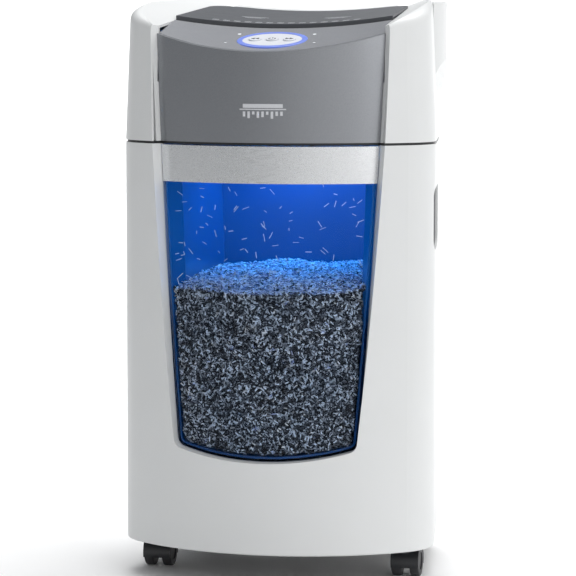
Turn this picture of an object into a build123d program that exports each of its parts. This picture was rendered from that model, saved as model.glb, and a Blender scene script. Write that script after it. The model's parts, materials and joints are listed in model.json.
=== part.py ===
from build123d import *
from math import atan2, cos, degrees, pi, radians, sin, sqrt
import os

os.makedirs("parts", exist_ok=True)

# A floor-standing paper shredder: a bowed white casing on four twin-wheel castors, a cutting head on top
# and a bin with a see-through window that pulls out at the front.
# Millimetres, +Z up, front towards -Y, origin on the floor under the middle of the machine.

# ---- overall size -----------------------------------------------------------------------------------
WIDTH = 380.0
DEPTH = 345.0
HEIGHT = 700.0
CASING_FOOT = 41.0            # underside of the casing above the floor
DECK_BOTTOM = HEIGHT - 173.5   # where the cabinet ends and the cutting head's deck begins
DECK_THICK = 3.0
WALL = 3.0                    # moulded wall of the casing
GAP = 0.5                     # gap between neighbouring trim pieces

# ---- plan of the casing -----------------------------------------------------------------------------
BOW_RADIUS = 265.0            # bowed front
CORNER_RADIUS = 65.0          # front corners
REAR_RADIUS = 42.0            # rear corners
SIDE_TAPER = 8.0              # degrees that each side turns in towards the back
HEAD_LEAN = 7.0               # how far the head's sides lean in at the top
BACK_SPLIT = 128.0            # Y where the side shells end and the back panels begin

# ---- front opening ----------------------------------------------------------------------------------
RECESS = 14.0                 # window, band and fascia stand this far behind the casing
FRONT_SKIN = 3.0              # thickness of window, band and fascia
COLLAR = 9.0                  # width of the casing's return around the opening
TOOL_FRONT = -180.0           # Y of the opening's front profile
TOOL_BACK = -100.0            # Y of the opening's rear profile
OPENING_FOOT = 151.0          # lowest point of the opening
OPENING_RISE = 15.0           # how far the lower edge curves up towards its ends
OPENING_CORNER = 12.0
FRONT_HALF_LOW = 113.0        # half widths of the two profiles at the foot and the top of the machine
FRONT_HALF_HIGH = 207.0
BACK_HALF_LOW = 107.5
BACK_HALF_HIGH = 127.0

# ---- bin --------------------------------------------------------------------------------------------
BIN_CLEAR = 1.2               # window and band inside the opening
TUB_CLEAR = 3.5               # tub inside the opening's rear profile
TUB_WALL = 2.5
TUB_BACK = 104.0              # Y of the tub's rear face
TUB_TOP = DECK_BOTTOM - 14.5
WINDOW_TOP = DECK_BOTTOM - 45.0
BAND_TOP = DECK_BOTTOM - 1.2
BAND_LIP = 16.0               # finger lip behind the band
RUNNER_X = 66.0
RUNNER_WIDTH = 8.0
RUNNER_FOOT = 158.8
RUNNER_DEEP = 3.0
RUNNER_PLAY = 0.3
SHELF_TOP = 149.0
SHELF_THICK = 4.0
SHELF_WIDTH = 264.0
SHELF_LENGTH = 216.0
SHELF_CORNER = 8.0
RAIL_MARGIN = 5.0             # the rails stand out on each side of the runners
RAIL_LENGTH = 214.0
HEAP_TOP = 385.0
HEAP_PLAY = 1.0

# ---- head -------------------------------------------------------------------------------------------
PANEL_FRONT = HEIGHT - 64.0    # top of the fascia in the middle
PANEL_SLOPE = 0.245           # rise of the control panel per mm to the back
INLET_SLOPE = 0.088           # rise of the inlet panel per mm to the back
INLET_STEP = 4.5              # inlet panel above the control panel at the slot
DISH_RADIUS = 871.0           # both panels are dished across the machine
PANEL_THICK = 3.0
POCKET_FRONT_HALF = 138.0
POCKET_REAR_HALF = 126.0
POCKET_FRONT = -122.0
POCKET_REAR = 141.0
POCKET_CORNER = 45.0
EAR_DISH_RADIUS = 347.0       # hollow between the ears
EAR_DISH_FOOT = HEIGHT - 54.0
EAR_SLOPE = 0.12
REAR_COVER_HALF = 104.0
BULGE = 10.0                  # carrying bulge at the rear of each side of the head
BULGE_FRONT = 20.0
BULGE_REAR = 148.0
BULGE_FOOT = HEIGHT - 114.0
SLOT_Y = -46.0                # paper slot
SLOT_GAP = 4.4
SLOT_WIDTH = 232.0            # widest sheet guide

# ---- buttons ----------------------------------------------------------------------------------------
BUTTONS_Y = -106.0
RING_HALF = (42.5, 37.0)
BEZEL_HALF = (36.0, 29.5)
BUTTON_RADIUS = 7.5
BUTTON_PITCH = 21.0
BUTTON_PLAY = 0.4
BUTTON_STAND = 2.6
BUTTON_DEEP = 9.0

FLAG_X = -30.0
FLAG_Y = SLOT_Y + 14.0
FLAG_Z = HEIGHT - 60.0
FLAG_WIDTH = 6.0
PLUNGER_X = 55.0
PLUNGER_Y = -141.0
PLUNGER_RADIUS = 3.0

# ---- castors ----------------------------------------------------------------------------------------
CASTOR_FRONT = (155.0, -58.0)
CASTOR_REAR = (124.0, 118.0)
WHEEL_RADIUS = 18.5
WHEEL_WIDTH = 11.5
WHEEL_GAP = 11.0
CASTOR_TRAIL = 11.0
AXLE_RADIUS = 2.5
PIN_RADIUS = 3.0
RUN_PLAY = 0.05               # radial running clearance
HOOD_PLAY = 0.9
HOOD_THICK = 1.4
FLANGE_RADIUS = 13.0
HUB_RADIUS = 11.0             # recess in a wheel's outer face
HUB_SINK = 1.5
TYRE_ROUND = 2.0
HOOD_SKIRT = 6.0              # how far the hood reaches below the axle
PIN_FOOT = 31.0               # lower end of the swivel pins
TRAY_BOTTOM = CASING_FOOT + 6.0
TRAY_THICK = 6.0

# ---- cutting block ----------------------------------------------------------------------------------
SHAFT_Z = HEIGHT - 115.0
SHAFT_SPACING = 36.0
DISC_RADIUS = 21.0
DISC_THICK = 4.0
DISC_PITCH = 9.0
DISC_COUNT = 25
SHAFT_RADIUS = 11.0
JOURNAL_RADIUS = 7.0
PLATE_HALF = 121.0            # inner face of the side plates
PLATE_THICK = 3.0
PLATE_FRONT = -92.0
PLATE_REAR = 112.0
PLATE_FOOT = DECK_BOTTOM + DECK_THICK
PLATE_TOP = HEIGHT - 74.0
BUSH_RADIUS = 11.0
GEAR_WIDTH = 7.0
SYNC_TEETH = 12
DRIVE_TEETH = 40
DRIVE_MODULE = 2.0
PINION_ONE_TEETH = 10
WHEEL_ONE_TEETH = 36
WHEEL_ONE_MODULE = 1.5
PINION_TWO_TEETH = 12
WHEEL_TWO_TEETH = 40
WHEEL_TWO_MODULE = 1.0
MOTOR_TEETH = 10
MOTOR_RADIUS = 31.0
MOTOR_LENGTH = 110.0
GEAR_FACE = 0.8               # side play between neighbouring gears
GEAR_PIN_RADIUS = 3.0

# ---- worked out -------------------------------------------------------------------------------------
DECK_TOP = DECK_BOTTOM + DECK_THICK
SYNC_MODULE = SHAFT_SPACING / SYNC_TEETH
PINION_WIDTH = GEAR_WIDTH + GEAR_FACE
FRONT = -DEPTH / 2
RECESS_Y = FRONT + RECESS
SHAFT_FRONT_Y = SLOT_Y - SHAFT_SPACING / 2
SHAFT_REAR_Y = SLOT_Y + SHAFT_SPACING / 2
PIN_ONE_Y = SHAFT_REAR_Y + DRIVE_MODULE * (DRIVE_TEETH + PINION_ONE_TEETH) / 2
PIN_TWO_Y = PIN_ONE_Y + WHEEL_ONE_MODULE * (WHEEL_ONE_TEETH + PINION_TWO_TEETH) / 2
MOTOR_Y = PIN_TWO_Y + WHEEL_TWO_MODULE * (WHEEL_TWO_TEETH + MOTOR_TEETH) / 2
PANEL_TILT = degrees(atan2(PANEL_SLOPE, 1.0))
CASTORS = {
    "fl": (-CASTOR_FRONT[0], CASTOR_FRONT[1]),
    "fr": (CASTOR_FRONT[0], CASTOR_FRONT[1]),
    "rl": (-CASTOR_REAR[0], CASTOR_REAR[1]),
    "rr": (CASTOR_REAR[0], CASTOR_REAR[1]),
}


def save(piece, name):
    """Label a finished piece and write it as its own STEP file."""
    piece.part.label = name
    export_step(piece.part, f"parts/{name}.step")


def on_circle(centre, radius, angle):
    """A point on a circle, the angle in radians."""
    return (centre[0] + radius * cos(angle), centre[1] + radius * sin(angle))


def casing_plan(inset):
    """Plan of the casing, set in from its outer face: bowed front, round corners, sides that turn in."""
    lean = radians(SIDE_TAPER)
    bow_centre = (0.0, FRONT + BOW_RADIUS)
    corner_x = WIDTH / 2 - CORNER_RADIUS
    corner_y = bow_centre[1] - sqrt((BOW_RADIUS - CORNER_RADIUS) ** 2 - corner_x**2)
    bow_end = atan2(corner_y - bow_centre[1], corner_x)
    rear_y = DEPTH / 2 - REAR_RADIUS
    reach = corner_x * cos(lean) + corner_y * sin(lean) + CORNER_RADIUS - REAR_RADIUS
    rear_x = (reach - rear_y * sin(lean)) / cos(lean)
    with BuildSketch() as plan:
        with BuildLine():
            bow_right = on_circle(bow_centre, BOW_RADIUS - inset, bow_end)
            ThreePointArc((-bow_right[0], bow_right[1]), (0, FRONT + inset), bow_right)
            for side in (1, -1):
                corner = (corner_x, corner_y)
                rear = (rear_x, rear_y)
                turn = [on_circle(corner, CORNER_RADIUS - inset, a) for a in (bow_end, 0, lean)]
                back = [on_circle(rear, REAR_RADIUS - inset, a) for a in (lean, pi / 4, pi / 2)]
                turn = [(side * x, y) for x, y in turn]
                back = [(side * x, y) for x, y in back]
                ThreePointArc(*turn)
                Line(turn[2], back[0])
                ThreePointArc(*back)
            Line((-rear_x, DEPTH / 2 - inset), (rear_x, DEPTH / 2 - inset))
        make_face()
    return plan.sketch


def opening_profile(half_low, half_high, margin):
    """Front view of the opening: straight sides that spread upwards over a bowed lower edge."""
    low = OPENING_FOOT + OPENING_RISE
    high = HEIGHT + 30
    with BuildSketch() as profile:
        with BuildLine():
            ThreePointArc((-half_low, low), (0, OPENING_FOOT), (half_low, low))
            Polyline((half_low, low), (half_high, high), (-half_high, high), (-half_low, low))
        make_face()
        fillet(profile.vertices().group_by(Axis.Y)[0], OPENING_CORNER)
        if margin:
            offset(amount=-margin, kind=Kind.INTERSECTION)
    return profile.sketch


def opening_tool(margin):
    """The opening as a solid that narrows to the back. A margin makes it smaller all round."""
    front_profile = opening_profile(FRONT_HALF_LOW, FRONT_HALF_HIGH, margin)
    back_profile = opening_profile(BACK_HALF_LOW, BACK_HALF_HIGH, margin)
    with BuildPart() as tool:
        with BuildSketch(Plane.XZ.offset(-TOOL_FRONT)):
            add(front_profile)
        with BuildSketch(Plane.XZ.offset(-TOOL_BACK)):
            add(back_profile)
        loft(ruled=True)
    return tool.part


def tub_room(margin, back):
    """The room behind the opening: it narrows with the opening, then runs straight to the back."""
    with BuildPart() as room:
        add(opening_tool(margin))
        with BuildSketch(Plane.XZ.offset(-back)):
            add(opening_profile(BACK_HALF_LOW, BACK_HALF_HIGH, margin))
        extrude(amount=back - TOOL_BACK)
    return room.part


def ring(outer, inner, low, high):
    """A wall that follows the casing's plan between two insets and two heights."""
    outer_plan = casing_plan(outer)
    inner_plan = casing_plan(inner)
    with BuildPart() as wall:
        with BuildSketch(Plane.XY.offset(low)):
            add(outer_plan)
            add(inner_plan, mode=Mode.SUBTRACT)
        extrude(amount=high - low)
    return wall.part


def dish(radius, foot, slope, start, length, wall=0.0):
    """The hollow above a dished panel, or with a wall the panel itself, rising to the back."""
    span = WIDTH + 20
    with BuildPart() as hollow:
        with BuildSketch(Plane.XZ.offset(-start)):
            with Locations((0, foot + radius)):
                Circle(radius + wall)
                if wall:
                    Circle(radius, mode=Mode.SUBTRACT)
            with Locations((0, foot - 10)):
                Rectangle(span, 150, align=(Align.CENTER, Align.MIN), mode=Mode.INTERSECT)
        extrude(amount=length * sqrt(1 + slope**2), dir=(0, 1, slope))
    return hollow.part


def pocket_plan(inset):
    """Plan of the well between the ears that holds the top panels."""
    front_half = POCKET_FRONT_HALF - inset
    rear_half = POCKET_REAR_HALF - inset
    rear = POCKET_REAR - inset
    with BuildSketch() as plan:
        with BuildLine():
            Polyline(
                (-front_half, POCKET_FRONT),
                (front_half, POCKET_FRONT),
                (rear_half, rear),
                (-rear_half, rear),
                close=True,
            )
        make_face()
        fillet(plan.vertices().group_by(Axis.Y)[-1], POCKET_CORNER)
    return plan.sketch


def half_space(y_low, y_high):
    """A block across the whole machine between two depths."""
    with BuildPart() as block:
        with Locations((0, (y_low + y_high) / 2, HEIGHT / 2)):
            Box(2 * WIDTH, y_high - y_low, 2 * HEIGHT)
    return block.part


def gear(teeth, module, width, bore, x, y, z, phase):
    """A spur gear across the machine: x is its left face and phase turns it, in degrees."""
    pitch_radius = teeth * module / 2
    root = pitch_radius - 1.15 * module
    tip = pitch_radius + 0.75 * module
    tooth_root = 0.60 * module
    tooth_tip = 0.27 * module
    across = Plane(origin=(x, y, z), x_dir=(0, 1, 0), z_dir=(1, 0, 0))
    with BuildPart() as wheel:
        with BuildSketch(across):
            Circle(root)
            with PolarLocations(0, teeth, start_angle=phase):
                Polygon(
                    (root - module, -tooth_root),
                    (root, -1.35 * tooth_root),
                    (tip, -tooth_tip),
                    (tip, tooth_tip),
                    (root, 1.35 * tooth_root),
                    (root - module, tooth_root),
                    align=None,
                )
            Circle(bore, mode=Mode.SUBTRACT)
        extrude(amount=width)
    return wheel.part


# =====================================================================================================
# Castors
# =====================================================================================================
hub_low = WHEEL_RADIUS
spine_half = WHEEL_GAP / 2 - HOOD_PLAY
hood_inner = WHEEL_RADIUS + HOOD_PLAY
hood_outer = hood_inner + HOOD_THICK
castor_half = WHEEL_GAP / 2 + WHEEL_WIDTH
below_skirt = (4 * hood_outer, 2 * hood_outer)

for place, (castor_x, castor_y) in CASTORS.items():
    axle_y = castor_y + CASTOR_TRAIL
    side_view = Plane(origin=(castor_x, axle_y, hub_low), x_dir=(0, 1, 0), z_dir=(1, 0, 0))

    with BuildPart() as castor_wheels:
        for face in (WHEEL_GAP / 2, -castor_half):
            with BuildSketch(side_view.offset(face)):
                Circle(WHEEL_RADIUS)
            extrude(amount=WHEEL_WIDTH)
        outer_rims = castor_wheels.edges().filter_by(GeomType.CIRCLE).filter_by(
            lambda e: abs(e.radius - WHEEL_RADIUS) < 0.01
        )
        fillet(outer_rims, TYRE_ROUND)
        with BuildSketch(side_view.offset(castor_half)):
            Circle(HUB_RADIUS)
        extrude(amount=-HUB_SINK, mode=Mode.SUBTRACT)
        with BuildSketch(side_view.offset(-castor_half)):
            Circle(HUB_RADIUS)
        extrude(amount=HUB_SINK, mode=Mode.SUBTRACT)
        with BuildSketch(side_view.offset(-castor_half + HUB_SINK)):
            Circle(AXLE_RADIUS)
        extrude(amount=2 * (castor_half - HUB_SINK))
    save(castor_wheels, f"castor_{place}_wheels")

    with BuildPart() as castor_hood:
        for half, hollow in ((spine_half, 0.0), (castor_half, hood_inner)):
            with BuildSketch(side_view.offset(-half)):
                Circle(hood_outer)
                if hollow:
                    Circle(hollow, mode=Mode.SUBTRACT)
                else:
                    with Locations((-CASTOR_TRAIL, 0)):
                        Rectangle(FLANGE_RADIUS, hood_outer, align=(Align.CENTER, Align.MIN))
                with Locations((0, -HOOD_SKIRT)):
                    Rectangle(*below_skirt, align=(Align.CENTER, Align.MAX), mode=Mode.SUBTRACT)
            extrude(amount=2 * half)
        with BuildSketch(side_view.offset(-castor_half - 1)):
            Circle(AXLE_RADIUS + RUN_PLAY)
        extrude(amount=2 * castor_half + 2, mode=Mode.SUBTRACT)
        with BuildSketch(Plane.XY.offset(PIN_FOOT - 0.5)):
            with Locations((castor_x, castor_y)):
                Circle(PIN_RADIUS + RUN_PLAY)
        extrude(amount=CASING_FOOT, mode=Mode.SUBTRACT)
    save(castor_hood, f"castor_{place}_hood")

with BuildPart() as castor_stems:
    for castor_x, castor_y in CASTORS.values():
        with BuildSketch(Plane.XY.offset(PIN_FOOT)):
            with Locations((castor_x, castor_y)):
                Circle(PIN_RADIUS)
        extrude(amount=CASING_FOOT - PIN_FOOT)
        with BuildSketch(Plane.XY.offset(CASING_FOOT)):
            with Locations((castor_x, castor_y)):
                Circle(FLANGE_RADIUS)
        extrude(amount=TRAY_BOTTOM - CASING_FOOT)
save(castor_stems, "castor_stems")

# =====================================================================================================
# Cabinet
# =====================================================================================================
LEDGE = 12.0
LEDGE_THICK = 3.0
GRIP_Y = (-72.0, 40.0)
GRIP_Z = (DECK_BOTTOM - 126.5, DECK_BOTTOM - 52.5)
GRIP_DEEP = 24.0
GRIP_FLANGE = 1.6
FOOT_ROUND = 2.4

front_opening = opening_tool(0)
collar_zone = opening_tool(-COLLAR)
collar_depth = RECESS + FRONT_SKIN + 4.0


def behind(y):
    """Everything behind a depth."""
    return half_space(y, DEPTH)


def before(y):
    """Everything in front of a depth."""
    return half_space(-DEPTH, y)


def grip_tool(side, grow):
    """The carrying grip's hollow in one side, as a rounded block across the wall."""
    middle_y = (GRIP_Y[0] + GRIP_Y[1]) / 2
    middle_z = (GRIP_Z[0] + GRIP_Z[1]) / 2
    across = Plane(origin=(side * WIDTH / 2, middle_y, middle_z), x_dir=(0, 1, 0), z_dir=(side, 0, 0))
    with BuildPart() as block:
        with BuildSketch(across.offset(10)):
            RectangleRounded(
                GRIP_Y[1] - GRIP_Y[0] + 2 * grow,
                GRIP_Z[1] - GRIP_Z[0] + 2 * grow,
                12.0 + grow,
            )
        extrude(amount=-(10 + GRIP_DEEP + grow))
    return block.part


grip_holes = [grip_tool(side, 0.0) for side in (1, -1)]
outer_plan = casing_plan(0)
inner_plan = casing_plan(WALL)
with BuildPart() as cabinet_wall:
    with BuildSketch(Plane.XY.offset(CASING_FOOT)):
        add(outer_plan)
    extrude(amount=DECK_BOTTOM - CASING_FOOT)
    fillet(cabinet_wall.edges().group_by(Axis.Z)[0], FOOT_ROUND)
    with BuildSketch(Plane.XY.offset(CASING_FOOT)):
        add(inner_plan)
    extrude(amount=DECK_BOTTOM - CASING_FOOT, mode=Mode.SUBTRACT)

cabinet_walls = [
    cabinet_wall.part,
    ring(WALL, LEDGE, TRAY_BOTTOM - LEDGE_THICK, TRAY_BOTTOM),
    ring(WALL, LEDGE, DECK_BOTTOM - LEDGE_THICK, DECK_BOTTOM),
]
collar_ring = ring(0, collar_depth, OPENING_FOOT - 2 * COLLAR, DECK_BOTTOM)
with BuildPart() as cabinet_collar:
    add(collar_ring)
    add(collar_zone, mode=Mode.INTERSECT)

with BuildPart() as cabinet_shell:
    add(cabinet_walls)
    add(behind(BACK_SPLIT), mode=Mode.SUBTRACT)
    add(cabinet_collar.part)
    add(front_opening, mode=Mode.SUBTRACT)
    for hole in grip_holes:
        add(hole, mode=Mode.SUBTRACT)
save(cabinet_shell, "cabinet_shell")

SCREW_X = 116.0
SCREW_ROWS = (90.0, 300.0, DECK_BOTTOM - 18.5)
SCREW_HEAD = 4.5
SCREW_SINK = 2.0
VENT_ROWS = 9
VENT_PITCH = 12.0
VENT_COLUMN = 84.0            # distance between the two columns of slots
VENT_Z = DECK_BOTTOM - 86.5
VENT_LENGTH = 70.0
VENT_OPEN = 5.0
with BuildPart() as cabinet_back:
    add(cabinet_walls)
    add(before(BACK_SPLIT), mode=Mode.SUBTRACT)
    with BuildSketch(Plane.XZ.offset(-DEPTH / 2 - 1)):
        with Locations((0, VENT_Z)):
            with GridLocations(VENT_COLUMN, VENT_PITCH, 2, VENT_ROWS):
                SlotOverall(VENT_LENGTH, VENT_OPEN)
    extrude(amount=20, mode=Mode.SUBTRACT)
    with BuildSketch(Plane.XZ.offset(-DEPTH / 2)):
        for screw_z in SCREW_ROWS:
            with Locations((-SCREW_X, screw_z), (SCREW_X, screw_z)):
                Circle(SCREW_HEAD)
    extrude(amount=SCREW_SINK, mode=Mode.SUBTRACT)
    with BuildSketch(Plane.XZ.offset(-DEPTH / 2)):
        for screw_z in SCREW_ROWS:
            with Locations((-SCREW_X, screw_z), (SCREW_X, screw_z)):
                Circle(SCREW_HEAD / 2)
    extrude(amount=8.0, mode=Mode.SUBTRACT)
save(cabinet_back, "cabinet_back")

with BuildPart() as grip_cups:
    for side in (1, -1):
        add(grip_tool(side, GRIP_FLANGE))
    add(ring(-40, 0.8, 0, HEIGHT), mode=Mode.SUBTRACT)
    for hole in grip_holes:
        add(hole, mode=Mode.SUBTRACT)
    add(cabinet_shell.part, mode=Mode.SUBTRACT)
save(grip_cups, "grip_cups")

STEM_HOLE = 4.0
TRAY_RIB = 4.0
TRAY_RIB_X = WIDTH - 130.0
TRAY_RIB_Y = DEPTH - 125.0
with BuildPart() as base_tray:
    tray_plan = casing_plan(WALL + GAP)
    with BuildSketch(Plane.XY.offset(TRAY_BOTTOM)):
        add(tray_plan)
    extrude(amount=TRAY_THICK)
    with BuildSketch(Plane.XY.offset(TRAY_BOTTOM)):
        for castor_x, castor_y in CASTORS.values():
            with Locations((castor_x, castor_y)):
                Circle(STEM_HOLE)
    extrude(amount=TRAY_THICK, mode=Mode.SUBTRACT)
    with BuildSketch(Plane.XY.offset(TRAY_BOTTOM + TRAY_THICK)):
        with GridLocations(0, TRAY_RIB_Y / 2 - 5 * TRAY_RIB, 1, 3):
            Rectangle(TRAY_RIB_X, TRAY_RIB)
        with GridLocations(TRAY_RIB_X / 2 - TRAY_RIB, 0, 3, 1):
            Rectangle(TRAY_RIB, TRAY_RIB_Y)
    extrude(amount=SHELF_TOP - SHELF_THICK - TRAY_BOTTOM - TRAY_THICK)
save(base_tray, "base_tray")

with BuildPart() as bin_shelf:
    with BuildSketch(Plane.XY.offset(SHELF_TOP - SHELF_THICK)):
        with Locations((0, TUB_BACK - SHELF_LENGTH / 2)):
            RectangleRounded(SHELF_WIDTH, SHELF_LENGTH, SHELF_CORNER)
    extrude(amount=SHELF_THICK)
    with BuildSketch(Plane.XY.offset(SHELF_TOP)):
        with Locations((0, TUB_BACK - RAIL_LENGTH / 2)):
            with GridLocations(2 * RUNNER_X, 0, 2, 1):
                Rectangle(RUNNER_WIDTH + 2 * RAIL_MARGIN, RAIL_LENGTH)
    extrude(amount=RUNNER_FOOT - RUNNER_PLAY - SHELF_TOP)
save(bin_shelf, "bin_shelf")

# =====================================================================================================
# Bin: it slides out of the cabinet to the front
# =====================================================================================================
bin_opening = opening_tool(BIN_CLEAR)
tub_front_plan = casing_plan(RECESS + FRONT_SKIN)

with BuildPart() as bin_window:
    add(ring(RECESS, RECESS + FRONT_SKIN, OPENING_FOOT - 10, WINDOW_TOP))
    add(bin_opening, mode=Mode.INTERSECT)
    add(behind(0), mode=Mode.SUBTRACT)
save(bin_window, "bin_window")

with BuildPart() as bin_band:
    add(ring(RECESS, RECESS + FRONT_SKIN, WINDOW_TOP, BAND_TOP))
    add(ring(RECESS, RECESS + BAND_LIP, BAND_TOP - FRONT_SKIN, BAND_TOP))
    add(bin_opening, mode=Mode.INTERSECT)
    add(behind(-117), mode=Mode.SUBTRACT)
save(bin_band, "bin_band")

with BuildPart() as bin_tub:
    add(tub_room(TUB_CLEAR, TUB_BACK))
    with BuildSketch(Plane.XY.offset(OPENING_FOOT)):
        add(tub_front_plan)
    extrude(amount=TUB_TOP - OPENING_FOOT, mode=Mode.INTERSECT)
    add(tub_room(TUB_CLEAR + TUB_WALL, TUB_BACK - TUB_WALL), mode=Mode.SUBTRACT)
    for side in (1, -1):
        with BuildSketch(Plane.XY.offset(RUNNER_FOOT)):
            with Locations((side * RUNNER_X, TUB_BACK)):
                Rectangle(RUNNER_WIDTH, RAIL_LENGTH, align=(Align.CENTER, Align.MAX))
        extrude(amount=RUNNER_DEEP)
save(bin_tub, "bin_tub")

heap_plan = casing_plan(RECESS + FRONT_SKIN + HEAP_PLAY)
heap_room = tub_room(TUB_CLEAR + TUB_WALL + HEAP_PLAY, TUB_BACK - TUB_WALL - HEAP_PLAY)
with BuildPart() as shredded_paper:
    with BuildSketch(Plane.XY.offset(OPENING_FOOT)):
        add(heap_plan)
    extrude(amount=HEAP_TOP - OPENING_FOOT)
    add(heap_room, mode=Mode.INTERSECT)
save(shredded_paper, "shredded_paper")

# =====================================================================================================
# Head: deck, ears, fascia and top panels
# =====================================================================================================
DECK_INSET = 2.0
CHUTE_HALF = 118.0
CHUTE_FRONT = -100.0
CHUTE_REAR = 6.0

deck_plan = casing_plan(DECK_INSET)
deck_front_plan = casing_plan(RECESS + DECK_INSET)
with BuildPart() as head_deck:
    with BuildSketch(Plane.XY.offset(DECK_BOTTOM)):
        add(deck_plan)
    extrude(amount=DECK_THICK)
    add(front_opening, mode=Mode.SUBTRACT)
    with BuildSketch(Plane.XY.offset(DECK_BOTTOM)):
        add(deck_front_plan)
    extrude(amount=DECK_THICK)
    with BuildSketch(Plane.XY.offset(DECK_BOTTOM)):
        with Locations((0, (CHUTE_FRONT + CHUTE_REAR) / 2)):
            Rectangle(2 * CHUTE_HALF, CHUTE_REAR - CHUTE_FRONT)
        with Locations((PLUNGER_X, PLUNGER_Y)):
            Circle(PLUNGER_RADIUS + BUTTON_PLAY)
    extrude(amount=DECK_THICK, mode=Mode.SUBTRACT)
save(head_deck, "head_deck")


def head_block(inset, low, high):
    """The head's outer form: the casing's plan, leaning in towards the top."""
    lean_low = HEAD_LEAN * (low - DECK_TOP) / (HEIGHT - DECK_TOP)
    lean_high = HEAD_LEAN * (high - DECK_TOP) / (HEIGHT - DECK_TOP)
    low_plan = casing_plan(inset + lean_low)
    high_plan = casing_plan(inset + lean_high)
    with BuildPart() as block:
        with BuildSketch(Plane.XY.offset(low)):
            add(low_plan)
        with BuildSketch(Plane.XY.offset(high)):
            add(high_plan)
        loft(ruled=True)
    return block.part


def panel_height(y):
    """Height of the control panel's middle line at a depth."""
    return PANEL_FRONT + PANEL_SLOPE * (y - RECESS_Y)


def inlet_height(y):
    """Height of the inlet panel's middle line at a depth."""
    return panel_height(SLOT_Y) + INLET_STEP + INLET_SLOPE * (y - SLOT_Y)


def ear_dish(drop):
    """The hollow between the ears, lowered by drop."""
    start = FRONT - 10
    foot = EAR_DISH_FOOT + EAR_SLOPE * (start - SLOT_Y) - drop
    return dish(EAR_DISH_RADIUS, foot, EAR_SLOPE, start, DEPTH + 30)


def inlet_dish(drop, start, length, wall=0.0):
    """The hollow above the inlet panel, lowered by drop, or with a wall the panel."""
    return dish(DISH_RADIUS, inlet_height(start) - drop, INLET_SLOPE, start, length, wall)


def pocket_block(inset, low):
    """The well between the ears as a solid."""
    plan = pocket_plan(inset)
    with BuildPart() as block:
        with BuildSketch(Plane.XY.offset(low)):
            add(plan)
        extrude(amount=HEIGHT + 20 - low)
    return block.part


def side_x(y):
    """Half width of the casing at a depth along its straight side."""
    corner_x = WIDTH / 2 - CORNER_RADIUS
    corner_y = FRONT + BOW_RADIUS - sqrt((BOW_RADIUS - CORNER_RADIUS) ** 2 - corner_x**2)
    lean = radians(SIDE_TAPER)
    start_x = corner_x + CORNER_RADIUS * cos(lean)
    start_y = corner_y + CORNER_RADIUS * sin(lean)
    return start_x - (y - start_y) * sin(lean) / cos(lean)


BULGE_ROOT = 12.0
BULGE_UNDER = 26.0
HEAD_CREST = 12.0
CREST_WALL = 8.0              # thicker under the crest, where the outside is rounded off
BULGE_CREST = 4.5             # the bulges' top below the crest
CREST_ARC = ((FRONT - 12.5, HEIGHT - 66.0), (-80.0, HEIGHT - 16.0), (60.0, HEIGHT))
POCKET_FOOT = HEIGHT - 100.0


def crest_tool(drop):
    """Everything above the head's crest, which falls away to the front, lowered by drop."""
    front, middle, rear = [(y, z - drop) for y, z in CREST_ARC]
    with BuildPart() as tool:
        with BuildSketch(Plane.YZ.offset(-WIDTH)):
            with BuildLine():
                ThreePointArc(front, middle, rear)
                Polyline(rear, (DEPTH, rear[1]), (DEPTH, 2 * HEIGHT), (front[0], 2 * HEIGHT), front)
            make_face()
        extrude(amount=2 * WIDTH)
    return tool.part


def is_crest_seam(edge):
    """The straight edge across the machine where the crest's curve runs out into its flat top."""
    box = edge.bounding_box()
    return box.max.Y - box.min.Y < 0.01 and box.max.Y < DEPTH / 2 - REAR_RADIUS


with BuildPart() as head_bulges:
    bulge_middle = (BULGE_FRONT + BULGE_REAR) / 2
    with BuildSketch(Plane.XY.offset(BULGE_FOOT)):
        for side in (1, -1):
            with BuildLine():
                front_end = (side * (side_x(BULGE_FRONT) - BULGE_ROOT / 2), BULGE_FRONT)
                rear_end = (side * (side_x(BULGE_REAR) - BULGE_ROOT), BULGE_REAR)
                crown = (side * (side_x(bulge_middle) + BULGE), bulge_middle)
                root = (side * (side_x(bulge_middle) - 2 * BULGE_ROOT), bulge_middle)
                ThreePointArc(front_end, crown, rear_end)
                Polyline(rear_end, root, front_end)
            make_face()
    extrude(amount=HEIGHT - BULGE_CREST - BULGE_FOOT)
    fillet(head_bulges.edges().group_by(Axis.Z)[-1], 3.0)
    under_x = side_x(bulge_middle) - HEAD_LEAN / 2
    for side in (1, -1):
        with BuildSketch(Plane.XZ.offset(-DEPTH)):
            with BuildLine():
                Polyline(
                    (side * under_x, BULGE_FOOT - 1),
                    (side * (under_x + 2 * BULGE), BULGE_FOOT - 1),
                    (side * (under_x + 2 * BULGE), BULGE_FOOT + 2 * BULGE_UNDER),
                    close=True,
                )
            make_face()
        extrude(amount=DEPTH, mode=Mode.SUBTRACT)

with BuildPart() as head_form:
    add(head_block(0, DECK_TOP, HEIGHT))
    add(crest_tool(0), mode=Mode.SUBTRACT)
    crest_edges = head_form.edges().filter_by(lambda e: e.bounding_box().min.Z > CREST_ARC[0][1])
    crest_edges = crest_edges.filter_by(lambda e: not is_crest_seam(e))
    fillet(crest_edges, HEAD_CREST)
    add(head_bulges.part)

with BuildPart() as ear_cavity:
    add(head_block(WALL, DECK_TOP, HEIGHT - CREST_WALL))
    add(ear_dish(WALL), mode=Mode.SUBTRACT)
    add(crest_tool(CREST_WALL), mode=Mode.SUBTRACT)

with BuildPart() as head_collar:
    add(ring(HEAD_LEAN, collar_depth, DECK_TOP, HEIGHT))
    add(collar_zone, mode=Mode.INTERSECT)
    add(head_form.part, mode=Mode.INTERSECT)

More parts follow.
